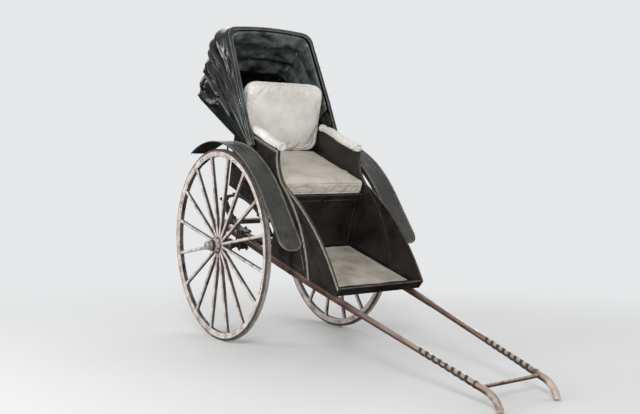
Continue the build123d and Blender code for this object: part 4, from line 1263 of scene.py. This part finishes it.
def body_trim():
    body_beads()
    new_piece("nosing", nosing(), "iron", "carriage", smooth=60)
    new_piece("riser_frame", riser_frame(), "body_wood", "carriage", smooth=60)
    new_piece("back_ribs", back_ribs(), "body_wood", "carriage", smooth=60)


# Running gear

SPRING_X, SPRING_HALF_LENGTH = 0.262, 0.280
SPRING_LOW, SPRING_HIGH = 0.062, 0.280
SPRING_RISE = (SPRING_HIGH - SPRING_LOW) / 2 - 0.015
SPRING_RADIUS = (SPRING_HALF_LENGTH ** 2 + SPRING_RISE ** 2) / (2 * SPRING_RISE)
CLIP_Y, CLIP_HALF_WIDTH, CLIP_HALF_HEIGHT = 0.150, 0.0205, 0.0115
CLIP_BAND = [(-0.0015, -0.007), (0.0018, -0.007), (0.0018, 0.007), (-0.0015, 0.007)]
# how far the clamps' bolts are from a spring's middle, and the heights of their nuts
CLAMP_BOLT, CLAMP_LOW, CLAMP_HIGH = 0.025, -0.021, 0.0875
EYE_HALF_WIDTH = 0.021


def spring_clip(x, y, seat, up):
    """Band round a pack of leaves, square to the leaves."""
    climb = SPRING_RADIUS - math.sqrt(SPRING_RADIUS ** 2 - y ** 2)
    turn = Matrix.Rotation(math.asin(y / SPRING_RADIUS) * up, 4, "X")
    place = Matrix.Translation((x, y, seat + up * (climb + 0.009))) @ turn
    corners = [Vector((u * CLIP_HALF_WIDTH, 0, v * CLIP_HALF_HEIGHT)) for u, v in CORNERS]
    path = [a.lerp(b, k / 6) for a, b in zip(corners, corners[1:] + corners[:1]) for k in range(6)]
    outward = [turn @ point for point in path]
    return sweep([place @ point for point in path], outward, CLIP_BAND, closed=True)


def spring_irons():
    """Clips round the leaf packs, eye bolts, and nuts on the clamp bolts over and under the axle."""
    parts = []
    for side in (RIGHT, LEFT):
        x = side * SPRING_X
        for up, seat in ((1, SPRING_LOW), (-1, SPRING_HIGH)):
            parts += [spring_clip(x, y, seat, up) for y in (-CLIP_Y, CLIP_Y)]
        for y in (-SPRING_HALF_LENGTH, SPRING_HALF_LENGTH):
            for face in (-1, 1):
                eye = (x + face * EYE_HALF_WIDTH, y, (SPRING_LOW + SPRING_HIGH) / 2)
                parts.append(nut(eye, (face, 0, 0), *EYE_NUT))
        for bolt_x in (x - CLAMP_BOLT, x + CLAMP_BOLT):
            for bolt_y in (-CLAMP_BOLT, CLAMP_BOLT):
                parts.append(nut((bolt_x, bolt_y, CLAMP_LOW), (0, 0, -1), *CLAMP_LOW_NUT))
                parts.append(nut((bolt_x, bolt_y, CLAMP_HIGH), (0, 0, 1), *CLAMP_HIGH_NUT))
    return join(parts)


# along a shaft: last square station, start of its round part, thinnest place, start of its drooping tip
SQUARE_Y, ROUND_Y, GRIP_Y, BEND_Y = -1.120, -1.095, -1.700, -1.945
SHAFT_X, SHAFT_TIP_X = 0.237, 0.180
TAPE_START, TAPE_END, TAPE_PITCH, TAPE_HALF_WIDTH = -1.545, -1.865, 0.040, 0.0085
TAPE_SECTION = [(-0.0006, -TAPE_HALF_WIDTH), (0.0011, 0.001 - TAPE_HALF_WIDTH), (0.0014, 0),
                (0.0011, TAPE_HALF_WIDTH - 0.001), (-0.0006, TAPE_HALF_WIDTH)]
FERRULE_Y, FERRULE_RADIUS, FERRULE_WIDTH, FERRULE_THICKNESS = -1.890, 0.0157, 0.012, 0.0022
# y of the bolts through the body brackets and of the rivets in the front ones
BRACKET_BOLTS, BRACKET_RIVETS = (-0.560, 0.290), (-0.692, -0.718)
# the rivets lie between the shaft's top and the floor
BRACKET_BOLT_X, BRACKET_RIVET_X, BRACKET_RIVET_RISE = 0.2785, 0.2655, 0.0215
BEARERS, BEARER_HALF_LENGTH, BEARER_DROP = (-0.420, -0.860), 0.255, 0.006
BEARER = [(-0.0065, -0.016), (0.005, -0.016), (0.006, -0.012), (0.006, 0.012), (0.005, 0.016),
          (-0.0065, 0.016)]


def shaft_axis(side, y):
    """Centre line of a shaft in front of its last square station."""
    share = (y - SQUARE_Y) / (BEND_Y - SQUARE_Y)
    return Vector((side * (SHAFT_X + (SHAFT_TIP_X - SHAFT_X) * share), y, shaft_z(y)))


def shaft_radius(y):
    """Radius of the round part of a shaft, thinnest at the grip."""
    if y > GRIP_Y:
        return 0.0130 + (y - GRIP_Y) / (ROUND_Y - GRIP_Y) * 0.0020
    return 0.0130 + (y - GRIP_Y) / (BEND_Y - GRIP_Y) * 0.0030


def binding(side):
    """Tape wound round a shaft in an open spiral."""
    turns = (TAPE_START - TAPE_END) / TAPE_PITCH
    count = int(turns * 24)
    path, outward = [], []
    for i in range(count + 1):
        y = TAPE_START + (TAPE_END - TAPE_START) * i / count
        turn = 2 * math.pi * turns * i / count
        outward.append(Vector((math.cos(turn), 0, math.sin(turn))))
        path.append(shaft_axis(side, y) + outward[-1] * shaft_radius(y))
    return sweep(path, outward, TAPE_SECTION)


def ferrule(side):
    """Iron ring round a shaft."""
    centre = shaft_axis(side, FERRULE_Y)
    ahead = (shaft_axis(side, FERRULE_Y - 0.1) - centre).normalized()
    turned = ahead.to_track_quat("X", "Z").to_matrix().to_4x4()
    ring = lathe(hoop(0, FERRULE_RADIUS - 0.0006, FERRULE_WIDTH, FERRULE_THICKNESS), 32)
    return moved(ring, Matrix.Translation(centre) @ turned)


def shaft_trim():
    nuts = []
    for side, word in SIDES:
        new_piece(f"{word}_grip_binding", binding(side), "shaft_wood", "carriage", TAPE, smooth=60)
        new_piece(f"{word}_shaft_rings", ferrule(side), "iron", "carriage")
        out = (side, 0, 0)
        for y in BRACKET_BOLTS:
            nuts.append(nut((side * BRACKET_BOLT_X, y, shaft_z(y)), out, *BRACKET_NUT))
        for y in BRACKET_RIVETS:
            middle = (side * BRACKET_RIVET_X, y, shaft_z(y) + BRACKET_RIVET_RISE)
            nuts.append(nut(middle, out, *BRACKET_RIVET))
    new_piece("shaft_nuts", join(nuts), "iron", "carriage")


def floor_bearers():
    """Bearers across the underside of the foot well."""
    places = [(y, floor_z(y) - BEARER_DROP) for y in BEARERS]
    return join([bar_across(BEARER_HALF_LENGTH, y, z, (0, 0, -1), BEARER) for y, z in places])


# Soft goods

CLOTH_STEPS = 20
CLOTH_SETTINGS = {"quality": 6, "mass": 0.2, "tension_stiffness": 40, "compression_stiffness": 40,
                  "shear_stiffness": 15, "bending_stiffness": 0.3, "use_pressure": True}
# how far from a seam it still holds the cloth
SEAM_HOLDS = 0.012
SEAT_FRONT, SEAT_REAR, SEAT_MIDDLE_Z = -0.342, 0.2074, 0.4678
# seams lie at these distances from the middle of each pad
SEAT_SEAMS, BACK_SEAMS, ARM_SEAMS = (-0.030, 0.030), (-0.020, 0.023), (-0.232, 0.147)
ARM_X, ARM_Z = 0.257, 0.6703
# middle of the back cushion, from the backrest's foot and along its lean
BACK_MIDDLE = (0, -0.0438, 0.397)
# outlines of the seams: half width, half length, corner, points
SEAT_OUTLINE = (0.2585, (SEAT_REAR - SEAT_FRONT) / 2 - 0.0035, 0.014, 170)
BACK_OUTLINE, ARM_OUTLINE = (0.2535, 0.1925, 0.056, 150), (0.0205, 0.0175, 0.008, 40)
MAT_REAR, MAT_FRONT, MAT_HALF_WIDTH, MAT_LIFT = -0.357, -0.892, 0.244, 0.0143
MAT_ROWS, MAT_COLUMNS = 70, 60
# thickness of the mat, also at its border, and how much it rises in waves and curls at its ends
MAT_THICKNESS, MAT_BOUND, MAT_WAVE, MAT_CURL = 0.0032, 0.0042, 0.0016, 0.0040


def rounded_frame(half_width, half_length, corner, count):
    """Closed rounded rectangle as (u, v) points."""
    outline = []
    for k in range(4):
        u = (half_width - corner) * (1 if k in (0, 3) else -1)
        v = (half_length - corner) * (1 if k < 2 else -1)
        turns = [math.pi / 2 * (k + i / 8) for i in range(9)]
        outline += [(u + corner * math.cos(turn), v + corner * math.sin(turn)) for turn in turns]
    spread, _ = spaced_evenly(outline + outline[:1], count + 1)
    return spread[:-1]


def stuffed(node, name, slot, seams, stuffing):
    """Fills a plain pad as a cloth bag held at its seams, then freezes it.

    stuffing has the size of a voxel and what inflate takes after the seams."""
    piece = linked(name, frame["nodes"][node].data.copy())
    remesh = piece.modifiers.new("even", "REMESH")
    remesh.mode = "VOXEL"
    remesh.voxel_size = stuffing[0]
    remesh.use_smooth_shade = True
    apply_modifiers(piece)
    inflate(piece, seams, *stuffing[1:])
    piece.modifiers.new("finer", "SUBSURF").levels = 1
    apply_modifiers(piece)
    piece.data.materials.clear()
    piece.data.materials.append(MATERIALS[slot])
    for polygon in piece.data.polygons:
        polygon.use_smooth = True
        polygon.material_index = 0
    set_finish(piece, slot)
    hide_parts(node)
    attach(piece, "carriage")
    return piece


def inflate(piece, seams, pressure, slack_share, reach):
    """Cloth under pressure for twenty steps; seams stay where they are and no point moves beyond reach."""
    rest = [vertex.co.copy() for vertex in piece.data.vertices]
    seam_tree = BVHTree.FromPolygons(*seam_ribbon(seams))
    group = piece.vertex_groups.new(name="seam")
    for i, point in enumerate(rest):
        hit = seam_tree.find_nearest(point, SEAM_HOLDS)
        if hit[0] is not None:
            group.add([i], max(0.0, 1 - hit[3] / SEAM_HOLDS), "REPLACE")
    cloth = piece.modifiers.new("cloth", "CLOTH")
    for name, value in CLOTH_SETTINGS.items():
        setattr(cloth.settings, name, value)
    cloth.settings.uniform_pressure_force = pressure
    cloth.settings.shrink_min = -slack_share
    cloth.settings.vertex_group_mass = "seam"
    cloth.settings.effector_weights.gravity = 0
    cloth.point_cache.frame_start, cloth.point_cache.frame_end = 1, CLOTH_STEPS
    for step in range(1, CLOTH_STEPS + 1):
        bpy.context.scene.frame_set(step)
    blown = piece.evaluated_get(bpy.context.evaluated_depsgraph_get()).to_mesh()
    shifts = [vertex.co - start for vertex, start in zip(blown.vertices, rest)]
    piece.modifiers.clear()
    bpy.context.scene.frame_set(1)
    for vertex, start, shift in zip(piece.data.vertices, rest, shifts):
        if shift.length > reach:
            shift *= reach / shift.length
        vertex.co = start + shift
    piece.vertex_groups.clear()


def seam_ribbon(seams):
    """Thin closed ribbons along the seams, to measure distances from."""
    points, faces = [], []
    for seam in seams:
        start, count = len(points), len(seam)
        for point in seam:
            points += [point, point + Vector((0, 0, 0.0004))]
        for i in range(count):
            a, b = start + 2 * i, start + 2 * ((i + 1) % count)
            faces += [(a, b, b + 1), (a, b + 1, a + 1)]
    return points, faces


def piping_on(piece, seams, name, slot, radius):
    """Corded piping along the seams of a pad, seated in its surface."""
    tree = BVHTree.FromObject(piece, bpy.context.evaluated_depsgraph_get())
    parts = []
    for seam in seams:
        nearest = [tree.find_nearest(point) for point in seam]
        path = [hit[0] + hit[1] * radius * 0.35 for hit in nearest]
        even = [(path[i - 1] + path[i] * 2 + path[(i + 1) % len(path)]) / 4 for i in range(len(path))]
        parts.append(tube(even, radius, 8, closed=True))
    new_piece(name, join(parts), slot, "carriage", level=False, smooth=80)


def placed_seams(place, loops):
    """Seam paths in the frame: place sets them, each loop is a list of points."""
    return [[LEVEL @ (place @ Vector(point)) for point in loop] for loop in loops]


def seat_seams():
    place = Matrix.Translation((0, (SEAT_FRONT + SEAT_REAR) / 2, SEAT_MIDDLE_Z))
    loop = rounded_frame(*SEAT_OUTLINE)
    return placed_seams(place, [[(u, v, z) for u, v in loop] for z in SEAT_SEAMS])


def back_seams():
    foot = Matrix.Translation((0, BACK_FOOT_Y, SEAT_BOX_BOTTOM))
    place = foot @ Matrix.Rotation(-math.atan(BACK_SLOPE), 4, "X") @ Matrix.Translation(BACK_MIDDLE)
    loop = rounded_frame(*BACK_OUTLINE)
    return placed_seams(place, [[(u, y, v) for u, v in loop] for y in BACK_SEAMS])


def arm_seams():
    loop = rounded_frame(*ARM_OUTLINE)
    places = [(side * ARM_X, y) for side in (RIGHT, LEFT) for y in ARM_SEAMS]
    return placed_seams(Matrix.Identity(4), [[(x + u, y, ARM_Z + v) for u, v in loop] for x, y in places])


def cushions():
    # one row each: node, cover, piping and its radius, slot, seams, and voxel, pressure, slack and reach
    for node, cover, piping, radius, slot, seams, stuffing in (
        ("seat_cushion", "seat_cushion_cover", "seat_cushion_piping", 0.0034, "seat_cloth", seat_seams(),
         (0.0075, 4.0, 0.05, 0.012)),
        ("back_cushion", "back_cushion_cover", "back_cushion_piping", 0.0034, "white_cloth", back_seams(),
         (0.0065, 4.0, 0.06, 0.012)),
        ("arm_pads", "arm_pad_covers", "arm_pad_piping", 0.0026, "white_cloth", arm_seams(),
         (0.005, 3.0, 0.16, 0.007)),
    ):
        piping_on(stuffed(node, cover, slot, seams, stuffing), seams, piping, slot, radius)


def mat_point(i, j, level):
    """Point of the mat's underside, level 0, or of its top, level 1."""
    x = -MAT_HALF_WIDTH + 2 * MAT_HALF_WIDTH * i / MAT_COLUMNS
    y = MAT_REAR + (MAT_FRONT - MAT_REAR) * j / MAT_ROWS
    from_end = min(j, MAT_ROWS - j)
    from_edge = min(i, MAT_COLUMNS - i, from_end)
    lie = (wave(x * 6, y * 5, 3.3) * MAT_WAVE + MAT_WAVE) * min(from_edge / 6, 1)
    curl = MAT_CURL * max(0, 1 - from_end / 5) * (0.5 + wave(x * 11, 1, 7))
    thickness = MAT_BOUND if from_edge < 2 else MAT_THICKNESS
    return x, y, floor_z(y) + MAT_LIFT + lie + curl + level * thickness


def floor_mat():
    """Woven mat that lies a little unevenly on the footboard, with a bound border."""
    rows, columns = MAT_ROWS + 1, MAT_COLUMNS + 1
    size = rows * columns
    points = [mat_point(i, j, level) for level in (0, 1) for j in range(rows) for i in range(columns)]
    under = ring_faces(rows, columns, wrap_columns=False)
    faces = under + [tuple(size + i for i in face) for face in under]
    rim = list(range(columns)) + [j * columns + columns - 1 for j in range(1, rows)]
    rim += [(rows - 1) * columns + i for i in range(columns - 2, -1, -1)]
    rim += [j * columns for j in range(rows - 2, 0, -1)]
    faces += [(a, b, b + size, a + size) for a, b in zip(rim, rim[1:] + rim[:1])]
    piece = new_piece("floor_mat_weave", (points, faces), "mat", "carriage", smooth=50)
    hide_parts("floor_mat")
    edge = [points[size + i] for i in rim]
    new_piece("floor_mat_border", tube(edge, 0.0030, 8, closed=True), "mat", "carriage", THREAD, smooth=80)


# Stage

FLOOR_REACH = 60.0
FLOOR_COLOUR = (0.62, 0.617, 0.61)
BACKDROP_COLOUR = (0.79, 0.80, 0.81)
# how far from the middle the floor begins to fade, and where it has faded
FLOOR_FADE = (1.5, 3.4)
SOFT_LIGHT = (0.47, 0.485, 0.495)
# what gleaming surfaces see, from straight down to straight up
SKY = [(0.0, (0.025,) * 3), (0.40, (0.05, 0.055, 0.055)), (0.62, (0.50, 0.53, 0.53)), (0.85, (0.75,) * 3),
       (1.0, (0.30,) * 3)]
LIT_POINT = Vector((0, 0.1, 0.8))
CAMERA_PLACE = (-2.767, AXLE.y - 4.439, 1.02)
CAMERA_YAW, CAMERA_DOWN = math.radians(34.6), math.radians(2.9)
LENS, SENSOR_WIDTH = 49, 36
# lamps: name, place, width, height, power
LAMPS = [
    ("key", (-3.8, -5.2, 3.8), 1.8, 1.8, 255),
    ("fill", (5.0, -3.2, 3.0), 2.6, 2.6, 80),
    ("back", (0.6, 4.8, 4.6), 4.4, 4.4, 130),
    ("side_strip", (-4.6, 1.5, 2.0), 0.50, 2.6, 105),
    ("front_strip", (-4.6, -1.9, 2.0), 0.35, 2.4, 50),
    ("far_strip", (4.4, 2.6, 2.2), 0.5, 2.6, 60),
]


def seen_directly(tree):
    """1 where the camera sees a thing straight or through glass."""
    rays = add_node(tree, "LightPath", {})
    return maths(tree, "ADD", rays["Is Camera Ray"], rays["Is Transmission Ray"], clamp=True)


def studio_floor():
    """Pale floor round the vehicle, which fades into the plain backdrop further out."""
    corners = [(x * FLOOR_REACH, y * FLOOR_REACH, 0) for x, y in CORNERS]
    mesh = bpy.data.meshes.new("studio_floor")
    mesh.from_pydata(corners, [], [(0, 1, 2, 3)])
    material, tree = new_material("studio_floor")
    finished(material, {"Base Color": (*FLOOR_COLOUR, 1), "Roughness": 0.95})
    place = parts_of(tree, add_node(tree, "TexCoord", {})["Object"])
    squares = [times(tree, place[axis], place[axis]) for axis in ("X", "Y")]
    away = range_of(tree, maths(tree, "SQRT", maths(tree, "ADD", *squares)), *FLOOR_FADE)
    glow = add_node(tree, "Emission", {"Color": (*BACKDROP_COLOUR, 1)})["Emission"]
    lit = tree.nodes["Principled BSDF"].outputs["BSDF"]
    fade = add_node(tree, "MixShader", {"Fac": times(tree, away, seen_directly(tree)), 1: lit, 2: glow})
    set_inputs(tree, tree.nodes["Material Output"], {"Surface": fade["Shader"]})
    mesh.materials.append(material)
    floor = linked("studio_floor", mesh)
    floor.visible_glossy = False


def surroundings():
    """Soft even light; what gleams shows a dark horizon under a bright sky."""
    world = bpy.data.worlds.new("studio")
    bpy.context.scene.world = world
    world.use_nodes = True
    tree = world.node_tree
    direction = parts_of(tree, add_node(tree, "TexCoord", {})["Generated"])
    gleam = add_node(tree, "LightPath", {})["Is Glossy Ray"]
    colour = blended(tree, gleam, SOFT_LIGHT, ramp_of(tree, direction["Z"], SKY))
    colour = blended(tree, seen_directly(tree), colour, BACKDROP_COLOUR)
    set_inputs(tree, tree.nodes["Background"], {"Color": colour})


def aim(thing, place, ahead):
    thing.location = place
    thing.rotation_mode = "QUATERNION"
    thing.rotation_quaternion = ahead.to_track_quat("-Z", "Y")


def stage():
    surroundings()
    studio_floor()
    for name, place, width, height, power in LAMPS:
        light = bpy.data.lights.new(name, "AREA")
        light.shape = "RECTANGLE"
        light.size = width
        light.size_y = height
        light.energy = power
        aim(linked(name, light), place, LIT_POINT - Vector(place))


def camera():
    """From the vehicle's front right, about 5 metres away and a metre above the ground."""
    data = bpy.data.cameras.new("camera")
    data.lens = LENS
    data.sensor_width = SENSOR_WIDTH
    data.clip_end = 200
    eye = linked("camera", data)
    ahead = Matrix.Rotation(-CAMERA_YAW, 4, "Z") @ Matrix.Rotation(-CAMERA_DOWN, 4, "X") @ Vector((0, 1, 0))
    aim(eye, CAMERA_PLACE, ahead)
    bpy.context.scene.camera = eye
    bpy.context.scene.view_settings.view_transform = "Standard"


paint_frame()
wheels()
hood()
mudguards()
body_trim()
new_piece("spring_irons", spring_irons(), "iron", "carriage")
shaft_trim()
new_piece("floor_bearers", floor_bearers(), "body_wood", "carriage")
cushions()
floor_mat()
stage()
camera()
